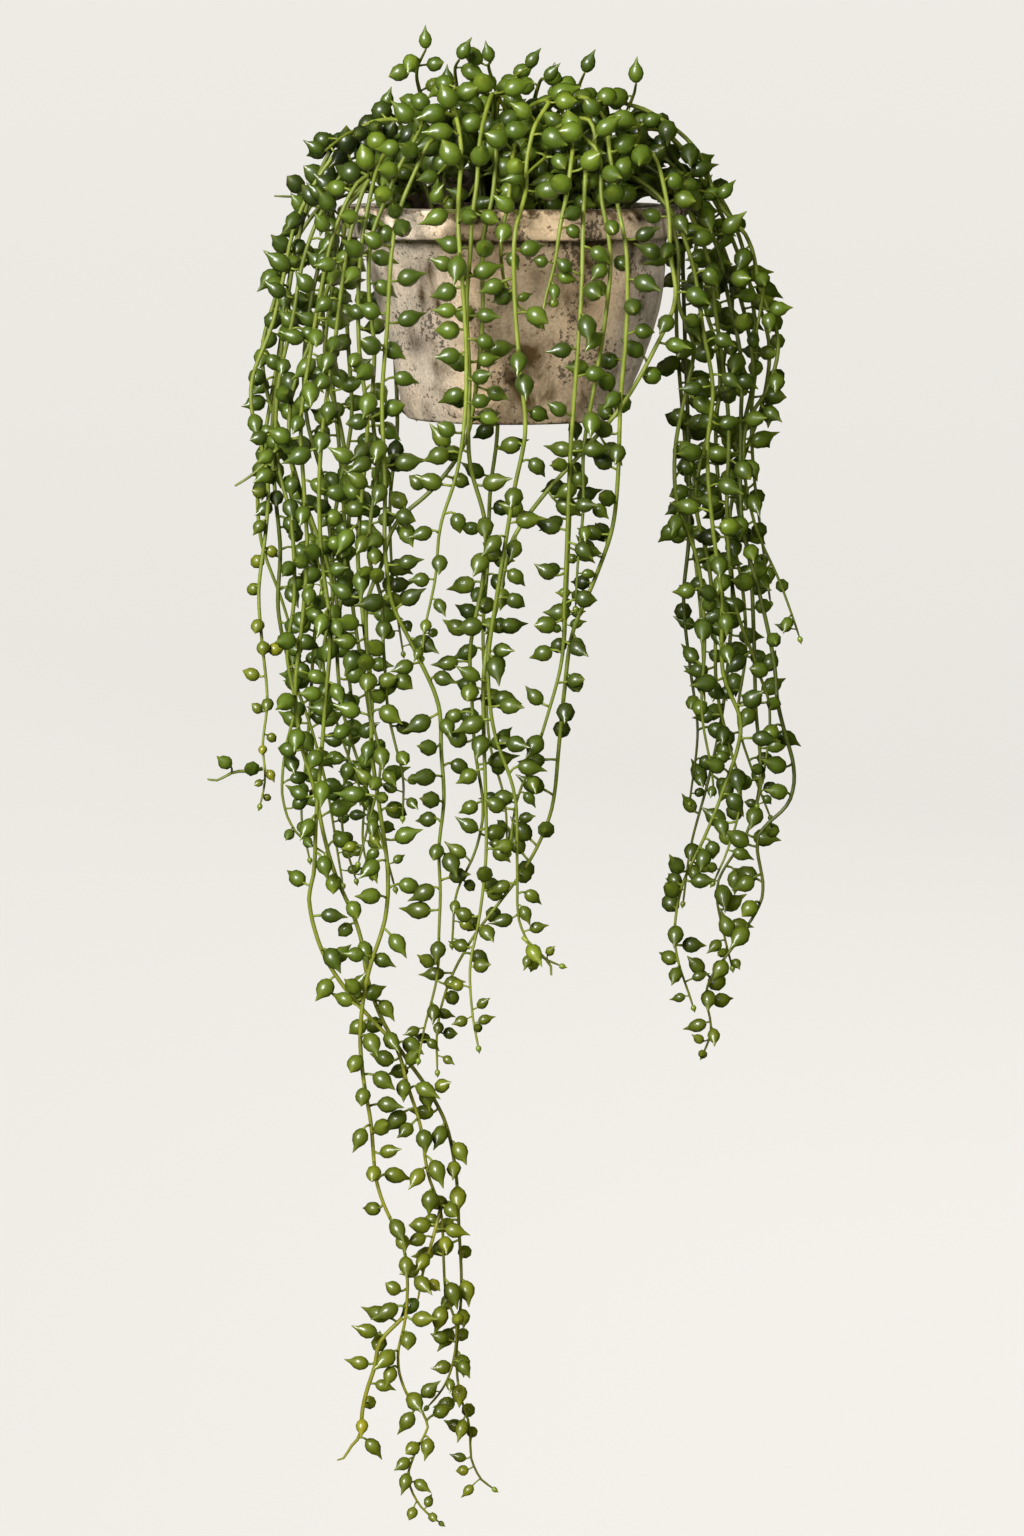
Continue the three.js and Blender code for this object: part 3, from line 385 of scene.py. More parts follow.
# Specks come in loose groups, thickest where the dirt is
amount = add("Math", {0: where, 1: 0.85, 2: 0.24}, operation="MULTIPLY_ADD")
line = add("Math", {0: dirt_and_shade, 1: -0.14, 2: amount}, operation="MULTIPLY_ADD")
over = add("Math", {0: fleck, 1: line}, operation="SUBTRACT")
speck = add("MapRange", {0: over, 1: 0, 2: 0.05, 3: 0, 4: 0.76})
specked = add("Mix", {0: speck, 6: muddy, 7: "#2c241b"}, data_type="RGBA")
grainy = add("MapRange", {0: grain, 1: 0.3, 2: 0.7, 3: 0.72, 4: 1.16})
final = add("Mix", {0: 1, 6: specked, 7: grainy}, data_type="RGBA", blend_type="MULTIPLY")
pit = add("MapRange", {0: pits, 1: 0.05, 2: 0.3, 3: 0, 4: 1})
rough = add("Math", {0: grain, 1: pit}, operation="MULTIPLY")
relief = add("Bump", {"Strength": 0.5, "Distance": 0.0005, "Height": rough})
connect(shader, {"Base Color": final, "Normal": relief, "Roughness": 0.9, "Specular IOR Level": 0.25})
pot.data.materials.append(terracotta)
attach(pot, "root")
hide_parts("pot")

# Soil
# Dark potting mix that fills the pot and rises a little in the middle, with bits of bark
# pressed into it. Little of it shows between the stems.
SOIL_EDGE = 77
SOIL_RISE = 10
SMALL_CHIPS = 150
BIG_CHIPS = 22
# Small space between pieces that touch, so that none cuts into another
GAP = 0.3


def soil_height(distance):
    inward = math.cos(min(1, distance / inner_radius(SOIL_EDGE)) * math.pi / 2)
    return SOIL_EDGE + SOIL_RISE * inward


soil_profile = [(0, FLOOR + GAP), (inner_radius(FLOOR) - 2, FLOOR + GAP)]
soil_profile += [(inner_radius(z) - GAP, z) for z in (20, 40, 60, 72, SOIL_EDGE - 1)]
soil_profile += [(r, soil_height(r)) for r in np.arange(inner_radius(SOIL_EDGE) - 0.6, 0, -1.3)]
soil_profile += [(0, SOIL_EDGE + SOIL_RISE)]
soil = turned("soil_potting_mix", soil_profile, 128)
for vertex in soil.data.vertices:
    x, y, z = vertex.co / MM
    if z > SOIL_EDGE - 0.5:
        lumps = 1.5 * noise.noise(Vector((x, y, 3)) / 4.5) + 0.9 * noise.noise(Vector((x, y, 9)) / 1.8)
        vertex.co.z += lumps * MM
bark = random.Random(21)
noise.seed_set(21)
chips = bmesh.new()
chips.from_mesh(soil.data)
for k in range(SMALL_CHIPS + BIG_CHIPS):
    distance, angle = 60 * math.sqrt(bark.random()), bark.uniform(0, math.tau)
    x, y = distance * math.cos(angle), distance * math.sin(angle)
    rise, size, flat, fine = bark.uniform(-0.6, 0.7), bark.uniform(1.6, 4.2), 0.3, 1
    if k >= SMALL_CHIPS:
        # Big pieces lie heaped where the plant is open, left of the middle
        x, y = bark.uniform(-37, -6), bark.uniform(-36, 6)
        rise, size, flat, fine = bark.uniform(0.5, 8), bark.uniform(5, 8), 0.5, 3
    lie = Matrix.Translation(Vector((x, y, soil_height(math.hypot(x, y)) + rise)) * MM)
    turn = Matrix.Rotation(bark.uniform(0, math.tau), 4, "Z")
    lie @= turn @ Matrix.Rotation(bark.uniform(-0.5, 0.5), 4, "X")
    size *= MM
    lie @= Matrix.Diagonal((size * bark.uniform(0.5, 1.2), size * 0.5, size * flat, 1))
    chip = bmesh.ops.create_icosphere(chips, subdivisions=fine, radius=1, matrix=lie)
    for vertex in chip["verts"]:
        vertex.co += noise.noise_vector(vertex.co * 900 / fine) * size * 0.2
chips.to_mesh(soil.data)
chips.free()
soil.data.shade_flat()
# Potting mix: crumbs of about 1 mm, nearly black when damp, with brown and mossy bits.
mix, add, shader, place = new_material("damp_potting_mix")
crumb = add("TexNoise", {"Vector": place, "Scale": 420, "Detail": 5, "Roughness": 0.7})
moss = add("TexNoise", {"Vector": place, "Scale": 70, "Detail": 4})
brown = add("ValToRGB", {0: crumb}, stops=((0.35, "#100b06"), (0.7, "#46351f")))
mossy = add("MapRange", {0: moss, 1: 0.56, 2: 0.64, 3: 0, 4: 0.8})
tint = add("Mix", {0: mossy, 6: brown, 7: "#3d4a1c"}, data_type="RGBA")
relief = add("Bump", {"Strength": 0.8, "Distance": 0.001, "Height": crumb})
connect(shader, {"Base Color": tint, "Normal": relief, "Roughness": 0.95})
soil.data.materials.append(mix)
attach(soil, "root")
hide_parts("soil")

# Stems
# Each stem roots in the soil, arches over the rim and hangs free. They are green, fleshy
# and about 1.7 mm thick, thinner at their tips.
# After each name come the place x,y of a stem's root and the points x,y,z that it passes,
# in mm, as in the part's source. A point given as x,z keeps the last one's y.
STEMS = """
left_01 -22,5 -55,-3,115 -71,-4,100 -84,-5,77 -90,52 -94,36 -102,15 -102,-6,2 -99,-9 -96,-26 -97,-44
-100,-7,-68 -99,-87 -97,-112 -99,-130 -98,-8,-143 -100,-153
left_02 -45,-14 -62,-19,99 -74,-22,80 -81,-23,61 -85,-24,39 -90,18 -91,-25,1 -90,-17 -86,-26,-38 -85,-27,-69
-88,-91 -85,-28,-111 -89,-129 -90,-29,-148 -85,-161 -74,-30,-169
left_03 -39,-26 -57,-40,94 -67,-44,76 -73,52 -77,29 -81,2 -80,-25 -79,-48 -81,-75 -84,-102 -82,-123 -77,-141
-73,-161 -69,-175 -60,-197 -56,-219 -50,-235 -42,-248 -33,-261 -26,-275 -22,-296 -21,-316 -20,-343 -22,-367
-21,-384 -17,-398 -16,-413 -12,-421 -8,-424
left_04 -30,-36 -52,-43,97 -61,-50,75 -65,52 -68,29 -72,-51,3 -74,-24 -73,-51 -70,-78 -72,-105 -74,-129
-76,-52,-152 -77,-173 -79,-183 -74,-204 -65,-219 -55,-231 -45,-243 -41,-53,-257 -36,-273 -33,-293 -28,-308
-27,-326 -26,-342 -22,-54,-354 -24,-372 -28,-381 -33,-387
left_05 -22,-27 -47,-46,105 -55,-57,81 -58,-58,56 -58,30 -55,-59,3 -57,-23 -59,-46 -57,-73 -54,-100 -54,-124
-51,-147 -48,-60,-171 -49,-189 -56,-212 -59,-234 -58,-252 -55,-271 -53,-294 -49,-61,-306 -43,-318 -41,-334
-42,-350 -45,-365 -42,-379 -33,-392 -38,-62,-403 -41,-414 -36,-426 -29,-432
left_06 -47,-1 -67,6,108 -78,7,89 -85,65 -89,42 -92,6,18 -95,-6 -94,5,-29 -92,-53 -93,4,-77 -88,-101
-80,3,-125 -74,-149 -70,2,-174 -68,-187
left_07 -22,-8 -62,-13,94 -72,-14,70 -78,-15,47 -81,-16,23 -80,0 -74,-23 -71,-17,-47 -69,-18,-70 -65,-94
-63,-118 -66,-19,-142 -67,-20,-162 -62,-181
left_08 -14,-18 -54,-32,94 -65,-34,69 -70,-35,46 -72,23 -66,-2 -63,-36,-29 -65,-57 -68,-37,-84 -66,-111
-59,-135 -52,-38,-159 -46,-181
left_09 -35,-3 -63,16,104 -72,19,80 -67,53 -65,25 -64,-3 -69,18,-30 -74,-59 -79,17,-87 -81,-115 -83,-139
-85,16,-162 -82,-179
left_10 -45,13 -66,24,95 -82,28,79 -89,52 -93,29,25 -98,-3 -102,-27 -101,-52 -93,30,-76 -86,-100 -81,-121
left_11 -40,25 -59,36,92 -73,40,68 -76,40 -72,39,8 -69,-24 -67,-57 -64,-85 -59,-118 -57,-137 -60,38,-159
-61,-178 -58,-190
left_12 -33,10 -63,14,93 -84,71 -94,45 -99,13,25 -96,4 -89,-14 -83,12,-34 -78,-54 -76,-70
left_13 -31,-16 -57,-28,92 -68,62 -76,36 -86,-27,9 -87,-15 -78,-38 -70,-65 -74,-93 -69,-26,-117 -63,-135
-58,-149
front_01 -10,-33 -32,-53,119 -35,-60,110 -41,-63,98 -48,-64,85 -53,-67,72 -54,53 -52,30 -53,8 -51,-15
-54,-38 -51,-65 -49,-66,-88 -49,-109 -42,-132 -42,-148
front_02 -19,-43 -31,-62,109 -36,-63,102 -42,-66,85 -45,-74,68 -47,38 -49,-73,12 -48,-18 -48,-49 -46,-64
-37,-83 -28,-104 -27,-122 -26,-141 -28,-72,-160 -27,-186 -29,-211 -34,-231 -36,-242
front_03 7,-8 -23,-48,127 -20,-62,113 -19,-70,94 -20,-80,78 -18,50 -17,24 -18,-81,3 -21,-16 -27,-35 -29,-55
-33,-82,-74 -34,-84
front_04 -6,-9 -8,-53,125 -12,-65,109 -14,-72,90 -15,-76,72 -17,-75,50 -16,20 -16,-74,-11 -10,-35
-11,-73,-56 -15,-78 -15,-72,-99 -14,-122 -11,-71,-145 -14,-161 -22,-70,-179 -24,-197
front_05 -2,-23 14,-55,123 8,-63,113 5,-73,90 1,-82,74 1,50 3,-83,24 5,1 1,-20 -3,-44 -6,-63 -9,-86 -7,-112
1,-84,-137 2,-166 3,-187 10,-199 18,-203
front_06 20,-42 24,-65,105 21,-71,90 18,-75,77 16,63 12,-74,48 11,42
front_07 7,-46 29,-57,116 29,-66,101 27,-71,85 26,-79,52 24,22 22,-78,-8 21,-37 20,-63 19,-77,-86 14,-106
8,-125 2,-76,-140 -1,-160
front_08 11,-20 29,-50,124 35,-60,109 40,-67,83 43,-71,66 43,38 41,-70,12 40,-19 38,-37 32,-69,-55 23,-77
20,-99 18,-68,-120 15,-146 7,-165 -5,-67,-182 -16,-197 -25,-215 -29,-66,-232 -29,-248
front_09 16,-31 29,-62,109 33,-69,88 37,-71,68 35,-72,42 31,17 27,-7 27,-73,-29 25,-74,-49 24,-66
front_10 31,-35 52,-50,105 59,-52,84 60,-55,66 62,-57,49 54,-59,30 41,-62,8 28,-64,-7 11,-66,-26 0,-69,-42
-5,-71,-64 -11,-74,-87 -11,-76,-110 -10,-78,-140 -10,-81,-163 -13,-83,-188 -16,-85,-203 -15,-88,-222
-13,-90,-233
front_11 -6,-47 -5,-64,113 -7,-71,90 -11,-70,72 -11,46 -13,-69,21 -18,-5 -30,-22 -44,-68,-35 -51,-53 -55,-77
-53,-67,-103 -50,-126 -55,-66,-151 -59,-166
front_12 3,-35 1,-68,105 -1,-73,87 -4,-72,72 -3,57 2,-71,47 9,-70,43
right_01 40,-25 51,-37,90 63,-39,71 64,46 70,-38,30 67,13 63,-37,-10 64,-31 72,-36,-53 75,-84 74,-35,-112
78,-135 79,-34,-143
right_02 10,4 42,-5,124 57,-6,117 72,-7,104 81,-9,83 92,-10,70 97,-11,50 104,-12,31 100,12 92,-13,-1
91,-14,-20 96,-43 105,-15,-63 111,-79 113,-16,-85
right_03 45,-13 55,-16,104 70,-19,88 79,-21,68 84,47 89,-22,24 89,1 88,-23,-23 91,-46 97,-24,-68 102,-91
103,-109 111,-25,-137 109,-150 97,-26,-163 99,-187 89,-27,-205 77,-224 79,-28,-241 76,-250
right_04 33,-10 53,-26,98 66,-28,84 75,65 79,-27,40 83,-26,12 85,-25,-15 84,-42 88,-24,-74 97,-23,-97
102,-22,-110 100,-21,-134 97,-20,-151
right_05 27,-22 49,-42,93 61,-46,81 69,-47,61 73,-46,37 77,14 75,-45,-9 77,-36 81,-44,-67 82,-43,-97 89,-116
82,-42,-143 75,-161 66,-41,-182 64,-204 71,-40,-228
right_06 23,1 55,3,108 74,86 84,63 92,2,38 95,1,15 90,0,-9 89,-33 94,-1,-56 96,-2,-88 97,-116 99,-3,-144
94,-4,-165 82,-5,-186 85,-207 88,-6,-219
right_07 20,-11 55,-13,93 68,-14,73 74,-13,47 80,27 81,-12,8 75,-12 72,-11,-32 77,-55 80,-10,-79 81,-107
86,-9,-129 91,-149 86,-8,-172 81,-184
right_08 19,14 52,10,116 76,12,94 89,13,72 95,12,45 97,25 95,2 96,11,-22 99,10,-46 103,-74
right_09 45,14 55,22,100 67,25,82 68,57 69,29 70,24,5 71,-23 71,-51 69,23,-75 72,-104 75,22,-128 72,-157
right_10 31,16 57,32,94 77,36,74 88,35,48 85,20 82,-8 84,34,-36 89,-68 88,33,-97 85,-125 80,-150 73,32,-177
70,-200
right_11 35,3 58,15,112 80,19,84 92,20,57 102,19,29 100,5 92,-19 87,-43 92,-67 94,-95 91,18,-123 97,-144
104,-162
back_01 -3,35 -5,64,111 -6,73,87 -6,75,67 -7,74,34 -6,-11 -9,73,-36 -10,-64 -12,72,-94 -11,-119 -9,71,-142
-3,-165 -2,70,-186
back_02 -20,42 -35,61,107 -43,65,87 -46,68,63 -48,67,31 -47,65,-10 -50,64,-39 -49,63,-72 -45,62,-101
back_03 -7,46 -23,66,103 -26,71,85 -27,75,63 -25,34 -26,74,8 -25,-2
back_04 6,45 8,61,107 8,73,88 7,78,63 5,77,34 7,76,1
back_05 10,33 26,64,107 25,71,87 24,72,63 25,71,30 24,69,-11 24,68,-39 23,67,-68 22,66,-97
back_06 19,43 40,61,103 42,66,83 43,68,63 41,35 38,67,10 37,66,0
back_07 30,36 54,57,99 63,56,81 66,59 67,55,27 70,53,-9 73,52,-46 77,51,-83 79,50,-120
mound_01 -27,22 -33,10,119 -37,-8,134 -33,-20,143
mound_02 -16,16 -20,2,122 -22,-16,135 -20,-32,139
mound_03 -1,11 -5,-4,124 -9,-22,136 -8,-36,138
mound_04 8,21 8,6,120 11,-12,131 13,-30,131
mound_05 22,25 23,16,114 26,0,128 28,-18,134
mound_06 39,26 42,14,110 46,0,122 48,-14,130
mound_07 -12,-40 -13,-52,100 -20,-62,103 -28,-70,96
mound_08 14,-38 15,-54,102 10,-66,102 4,-74,95
mound_09 40,-5 47,-14,102 49,-28,113 43,-44,112
mound_10 -38,-9 -48,-16,106 -60,-26,112 -72,-36,104
mound_11 -16,31 -19,37,104 -26,36,117 -25,22,128
mound_12 -5,23 -6,26,112 -4,18,128 6,6,136
mound_13 12,41 18,46,106 20,42,120 16,26,129
mound_14 -31,35 -38,40,106 -46,32,116 -50,18,120
"""
HOLE_DEPTH = 9
STEM_RADIUS = 0.84
TIP_RADIUS = 0.45
# The arch above a root: how far out to the first point, how far up to it, and its lift
ARCH_OUT, ARCH_UP, ARCH_LIFT = 0.35, 0.7, 6
# Ways are sampled about this far apart, and their first samples stay as they are rooted
SAMPLE = 5
ROOTED_SAMPLES = 3
# Least distance between two stems, and between a stem and the pot
STEM_SPACING = 6.4
STEM_ROOM = 4.6
# A push moves a stem most in depth, which the photo doesn't show, and eases off along it
PUSH_EASE = np.array((0.5, 1, 0.3))
SPREAD = 0.4
BEND_ROUNDS = 140


def read_table(text):
    """The names in a table and the points that follow each of them."""
    rows = []
    for word in text.split():
        if word[0].isalpha():
            points = []
            rows.append((word, points))
            continue
        x, *depth, z = (int(number) for number in word.split(","))
        if points and not depth:
            depth = points[-1][1:2]
        points.append((x, *depth, z))
    return rows


def curve_point(points, t):
    """A point at t from 0 to 1 on the centripetal Catmull-Rom curve through points."""
    reach = (len(points) - 1) * t
    i = min(int(reach), len(points) - 2)
    part = reach - i
    p1, p2 = points[i], points[i + 1]
    p0 = points[i - 1] if i > 0 else 2 * points[0] - points[1]
    p3 = points[i + 2] if i + 2 < len(points) else 2 * points[-1] - points[-2]
    d0, d1, d2 = (np.sum((b - a) ** 2) ** 0.25 for a, b in ((p0, p1), (p1, p2), (p2, p3)))
    t1 = ((p1 - p0) / d0 - (p2 - p0) / (d0 + d1) + (p2 - p1) / d1) * d1
    t2 = ((p2 - p1) / d1 - (p3 - p1) / (d1 + d2) + (p3 - p2) / d2) * d1
    return (p1 + t1 * part + (3 * (p2 - p1) - 2 * t1 - t2) * part ** 2
            + (2 * (p1 - p2) + t1 + t2) * part ** 3)


def run_of(points):
    """The length along a line of points, up to each of them."""
    return np.concatenate(([0], np.cumsum(np.linalg.norm(np.diff(points, axis=0), axis=1))))


def spaced(points, step, samples=201):
    """Points about step mm apart along the smooth curve through points."""
    points = [np.array(p, float) for p in points]
    run = run_of(np.array([curve_point(points, k / (samples - 1)) for k in range(samples)]))
    count = max(2, round(run[-1] / step))
    wanted = np.interp(np.linspace(0, run[-1], count + 1), run, np.linspace(0, 1, samples))
    return np.array([curve_point(points, t) for t in wanted])


def stem_way(root, *points):
    """A stem's way: straight up out of the soil, over in an arch, then through its points."""
    x, y = root
    ground = soil_height(math.hypot(x, y))
    first = points[0]
    arch = (x + (first[0] - x) * ARCH_OUT, y + (first[1] - y) * ARCH_OUT,
            ground + (first[2] - ground) * ARCH_UP + ARCH_LIFT)
    return spaced([(x, y, ground - HOLE_DEPTH + GAP), (x, y, ground + 1), arch, *points], SAMPLE)


def keep_off_pot(points, room):
    """Moves points outward from the pot's wall, or up from its rim and the soil."""
    for point in points:
        distance = math.hypot(point[0], point[1])
        if distance < inner_radius(SOIL_EDGE) - room:
            if point[2] > SOIL_EDGE:
                point[2] = max(point[2], soil_height(distance) + room)
            continue
        on_rim = point[2] > RIM_BOTTOM - room
        wall = RIM_RADIUS if on_rim else wall_radius(point[2]) + LEAN + 2 * DIP
        outward = wall + room - distance
        upward = POT_HEIGHT + room - point[2]
        if outward <= 0 or upward <= 0 or point[2] < -room:
            continue
        if on_rim and upward < outward:
            point[2] += upward
        else:
            point[:2] *= 1 + outward / distance


def tree_of(points):
    """The points as a tree that quickly finds those near a place."""
    tree = kdtree.KDTree(len(points))
    for i, point in enumerate(points):
        tree.insert(point, i)
    tree.balance()
    return tree


def bend_clear(ways, rounds, fixed=()):
    """Bends ways that run too close to each other, to fixed ones, the pot or the soil."""
    count, longest = len(ways), max(len(way) for way in ways)
    ends = np.array([len(way) for way in ways])
    grid = np.zeros((count, longest, 3))
    for own, way in enumerate(ways):
        grid[own, :len(way)] = way
    owner = np.repeat(np.arange(count), longest).reshape(count, longest)
    place = np.tile(np.arange(longest), (count, 1))
    free = (place >= ROOTED_SAMPLES) & (place < ends[:, None])
    held = np.concatenate(fixed) if len(fixed) else np.zeros((0, 3))
    owners = np.concatenate((owner[free], np.full(len(held), -1)))
    for turn in range(rounds):
        points = grid[free]
        every = np.concatenate((points, held))
        if turn % 10 == 0:
            nearby = tree_of(every)
            pairs = np.array([(i, j) for i, point in enumerate(points)
                              for _, j, _ in nearby.find_range(point, 2.2 * STEM_SPACING)
                              if j > i and owners[i] != owners[j]]).reshape(-1, 2)
        a, b = pairs[:, 0], pairs[:, 1]
        apart = every[a] - every[b]
        distance = np.linalg.norm(apart, axis=1)
        close = distance < STEM_SPACING
        a, b, apart, distance = a[close], b[close], apart[close] * PUSH_EASE, distance[close]
        apart *= ((STEM_SPACING - distance) / 2 / np.maximum(1e-9, np.linalg.norm(apart, axis=1)))[:, None]
        push = np.zeros((len(every), 3))
        np.add.at(push, a, apart)
        np.add.at(push, b, -apart)
        moves = np.zeros_like(grid)
        moves[free] = push[:len(points)]
        for _ in range(2):
            for i in range(1, longest - 1):
                inside = (i + 1 < ends)[:, None]
                mean = (moves[:, i - 1] + moves[:, i + 1]) / 2
                moves[:, i] += np.where(inside, SPREAD * (mean - moves[:, i]), 0)
        grid[free] += moves[free]
        points = grid[free]
        keep_off_pot(points, STEM_ROOM)
        grid[free] = points
    return [grid[own, :end] for own, end in enumerate(ends)]


stems = read_table(STEMS)
names = [name for name, _ in stems]
ways = bend_clear([stem_way(*points) for _, points in stems], BEND_ROUNDS)

# Side shoots that leave a hanging stem: the stem, then the points that the shoot passes
SHOOTS = """
left_01 -99,-8,-139 -104,-140 -110,-9,-140 -114,-142 -118,-144 -121,-143
left_02 -91,-25,-10 -97,-24,-17 -103,-22 -108,-25
left_05 -43,-61,-349 -52,-359 -54,-369 -57,-378 -59,-387 -60,-397 -64,-402 -66,-406 -69,-407
left_04 -28,-53,-307 -31,-56,-318 -33,-325 -35,-332 -37,-343
right_02 98,-11,52 96,-14,38 94,28
front_05 4,-84,-192 11,-199 15,-203 15,-207
"""
shoots = [(name, spaced(points, 3)) for name, points in read_table(SHOOTS)]

# Short sprigs fill the mound between the long stems. They root all over the soil, climb
# to the mound's rounded top and lean outward, with their tips free.
MOUND_SPRIGS = 31
# Each root is turned from the last by the golden angle, as leaves are, which spreads them
GOLDEN_ANGLE = 2.39996
# The mound's top from the front: distance to the right and height
MOUND_TOP = ((-80, 80), (-67, 103), (-46, 115), (-33, 127), (-9, 128), (11, 119), (26, 120), (47, 114),
             (57, 103), (71, 92), (82, 78))


def mound_height(x, y):
    """Height of the mound's top: its outline from the front, rounded off to front and back."""
    middle = (MOUND_TOP[0][0] + MOUND_TOP[-1][0]) / 2
    distance = math.hypot(x - middle * 0.2, y * 1.12)
    side = math.copysign(distance, x) if x else distance
    blend = clamp(abs(x) / max(1, distance))
    right, left, along = (np.interp(s, *zip(*MOUND_TOP)) for s in (distance, -distance, side))
    return blend * along + (1 - blend) * ((right + left) / 2)


sprig_random = random.Random(5)
sprigs = []
for k in range(MOUND_SPRIGS):
    angle = k * GOLDEN_ANGLE + sprig_random.uniform(-0.3, 0.3)
    distance = 54 * math.sqrt((k + 0.5) / MOUND_SPRIGS)
    x, y = distance * math.cos(angle), distance * math.sin(angle)
    lean = angle + sprig_random.uniform(-0.9, 0.9)
    reach = sprig_random.uniform(22, 48)
    points = [(x, y, soil_height(distance) - 3), (x, y, soil_height(distance) + 4)]
    for share, lift in ((0.3, 0.72), (0.65, 0.95), (1, 1)):
        px, py = x + reach * share * math.cos(lean), y + reach * share * math.sin(lean)
        ground = soil_height(math.hypot(px, py))
        top = max(ground + 9, mound_height(px, py) - sprig_random.uniform(3, 22))
        points.append((px, py, ground + (top - ground) * lift))
    sprigs.append(spaced(points, SAMPLE))
sprigs = bend_clear(sprigs, 30, ways)

# Pearls
# The leaves: green, fleshy beads 7 to 9 mm across, drawn out into a small point, each on
# a thin stalk. Younger ones near the tips are smaller. One is modelled for each form,
# and its copies are turned, sized and set along the stems.
PEARL_SIDES = 8
# From round to pointed: distance from the stalk and radius of each ring, in pearl radii
PEARL_FORMS = (
    ((0.1, 0.45), (0.46, 0.85), (1.04, 1.0), (1.62, 0.84), (2.06, 0.4), (2.42, 0.06)),
    ((0.12, 0.44), (0.5, 0.84), (1.1, 1.0), (1.74, 0.82), (2.26, 0.34), (2.9, 0.05)),
    ((0.12, 0.4), (0.54, 0.8), (1.18, 1.0), (1.9, 0.81), (2.56, 0.31), (3.35, 0.05)),
)
POINT_BEND = 0.26


def pearl_model(form):
    """One pearl, its stalk end at the origin and its point up, made from a sphere."""
    bpy.ops.object.select_all(action="DESELECT")
    bpy.ops.mesh.primitive_uv_sphere_add(segments=PEARL_SIDES, ring_count=len(form) + 1, radius=1)
    model = bpy.context.object
    bpy.ops.object.mode_set(mode="EDIT")
    shape = bmesh.from_edit_mesh(model.data)
    levels = sorted({round(v.co.z, 4) for v in shape.verts})
    targets = [(0.0, None), *form, (form[-1][0] + 0.08, None)]
    rings = [[v for v in shape.verts if abs(v.co.z - level) < 0.001] for level in levels]
    for ring, level, (reach, radius) in zip(rings, levels, targets):
        bpy.ops.mesh.select_all(action="DESELECT")
        for vertex in ring:
            vertex.select = True
        shape.select_flush(True)
        if radius is not None:
            wide = radius / math.hypot(ring[0].co.x, ring[0].co.y)
            bpy.ops.transform.resize(value=(wide, wide, 1))
        # Every ring is set 2 too high, clear of the sphere's other rings
        bpy.ops.transform.translate(value=(0, 0, reach + 2 - level))
    bpy.ops.object.mode_set(mode="OBJECT")
    points = np.array([v.co for v in model.data.vertices]) - (0, 0, 2)
    # The point of each pearl is bent a little to one side
    points[:, 0] += POINT_BEND * (points[:, 2] / points[:, 2].max()) ** 4
    faces = [tuple(p.vertices) for p in model.data.polygons]
    bpy.data.objects.remove(model)
    return points, faces


pearl_models = [pearl_model(form) for form in PEARL_FORMS]


def unit(vector):
    return vector / np.linalg.norm(vector)


def square_to(vector, along):
    """The unit vector nearest to a vector at right angles to another."""
    return unit(vector - along * vector.dot(along))


class Way:
    """A stem's way with its length up to each sample and a side that doesn't twist."""

    def __init__(self, points):
        self.points = points
        self.run = run_of(points)
        self.total = self.run[-1]
        steps = np.gradient(points, axis=0)
        self.along = steps / np.linalg.norm(steps, axis=1)[:, None]
        side, self.side = np.array((1.0, 0, 0)), []
        for along in self.along:
            side = square_to(side, along)
            self.side.append(side)
        self.side = np.array(self.side)

    def at(self, length):
        """The point at a length, and the directions along the stem and to its side."""
        point, along, side = (np.array([np.interp(length, self.run, column) for column in table.T])
                              for table in (self.points, self.along, self.side))
        along = unit(along)
        return point, along, square_to(side, along)

    def radius(self, length):
        thin = max(0, length / self.total * 3 - 2) if self.total > 60 else length / self.total
        return STEM_RADIUS + (TIP_RADIUS - STEM_RADIUS) * thin


class Growth:
    """The mesh of a stem, its stalks and pearls, gathered before it becomes an object."""

    def __init__(self):
        self.points, self.faces, self.pearly, self.count = [], [], [], 0
        self.tone, self.reach, self.sallow = [], [], []

    def add(self, points, faces, pearly, tone, reach, sallow=0.0):
        self.points.append(points)
        self.faces += [tuple(i + self.count for i in face) for face in faces]
        self.pearly += [pearly] * len(faces)
        self.tone.append(np.full(len(points), tone))
        self.reach.append(reach)
        self.sallow.append(np.full(len(points), sallow))
        self.count += len(points)

    def tube(self, centres, radii, sides, tone, first, sallow=0.0):
        """A closed tube along centres, its corners turned from the direction first."""
        centres = np.array(centres)
        angles = np.arange(sides) / sides * math.tau
        side, rings, faces = np.array(first), [], []
        for centre, step, radius in zip(centres, np.gradient(centres, axis=0), radii):
            along = unit(step)
            side = square_to(side, along)
            across = np.cross(along, side)
            rings.append(centre + radius * (np.outer(np.cos(angles), side)
                                            + np.outer(np.sin(angles), across)))
        for start in range(0, (len(rings) - 1) * sides, sides):
            for k in range(sides):
                n = (k + 1) % sides
                faces.append((start + k, start + n, start + sides + n, start + sides + k))
        faces.append(tuple(range(sides - 1, -1, -1)))
        faces.append(tuple((len(rings) - 1) * sides + k for k in range(sides)))
        tone, sallow, reach = (np.repeat(np.broadcast_to(value, len(rings)), sides)
                               for value in (tone, sallow, np.linspace(0, 1, len(rings))))
        self.add(np.concatenate(rings), faces, False, tone, reach, sallow)

    def piece(self, name):
        mesh = bpy.data.meshes.new(name)
        mesh.from_pydata((np.concatenate(self.points) * MM).tolist(), [], self.faces)
        for label, values in (("tone", self.tone), ("reach", self.reach), ("sallow", self.sallow)):
            layer = mesh.attributes.new(label, "FLOAT", "POINT")
            layer.data.foreach_set("value", np.concatenate(values))
        mesh.polygons.foreach_set("material_index", self.pearly)
        mesh.shade_smooth()
        mesh.materials.append(stem_skin)
        mesh.materials.append(pearl_skin)
        piece = bpy.data.objects.new(name, mesh)
        bpy.context.scene.collection.objects.link(piece)
        return piece
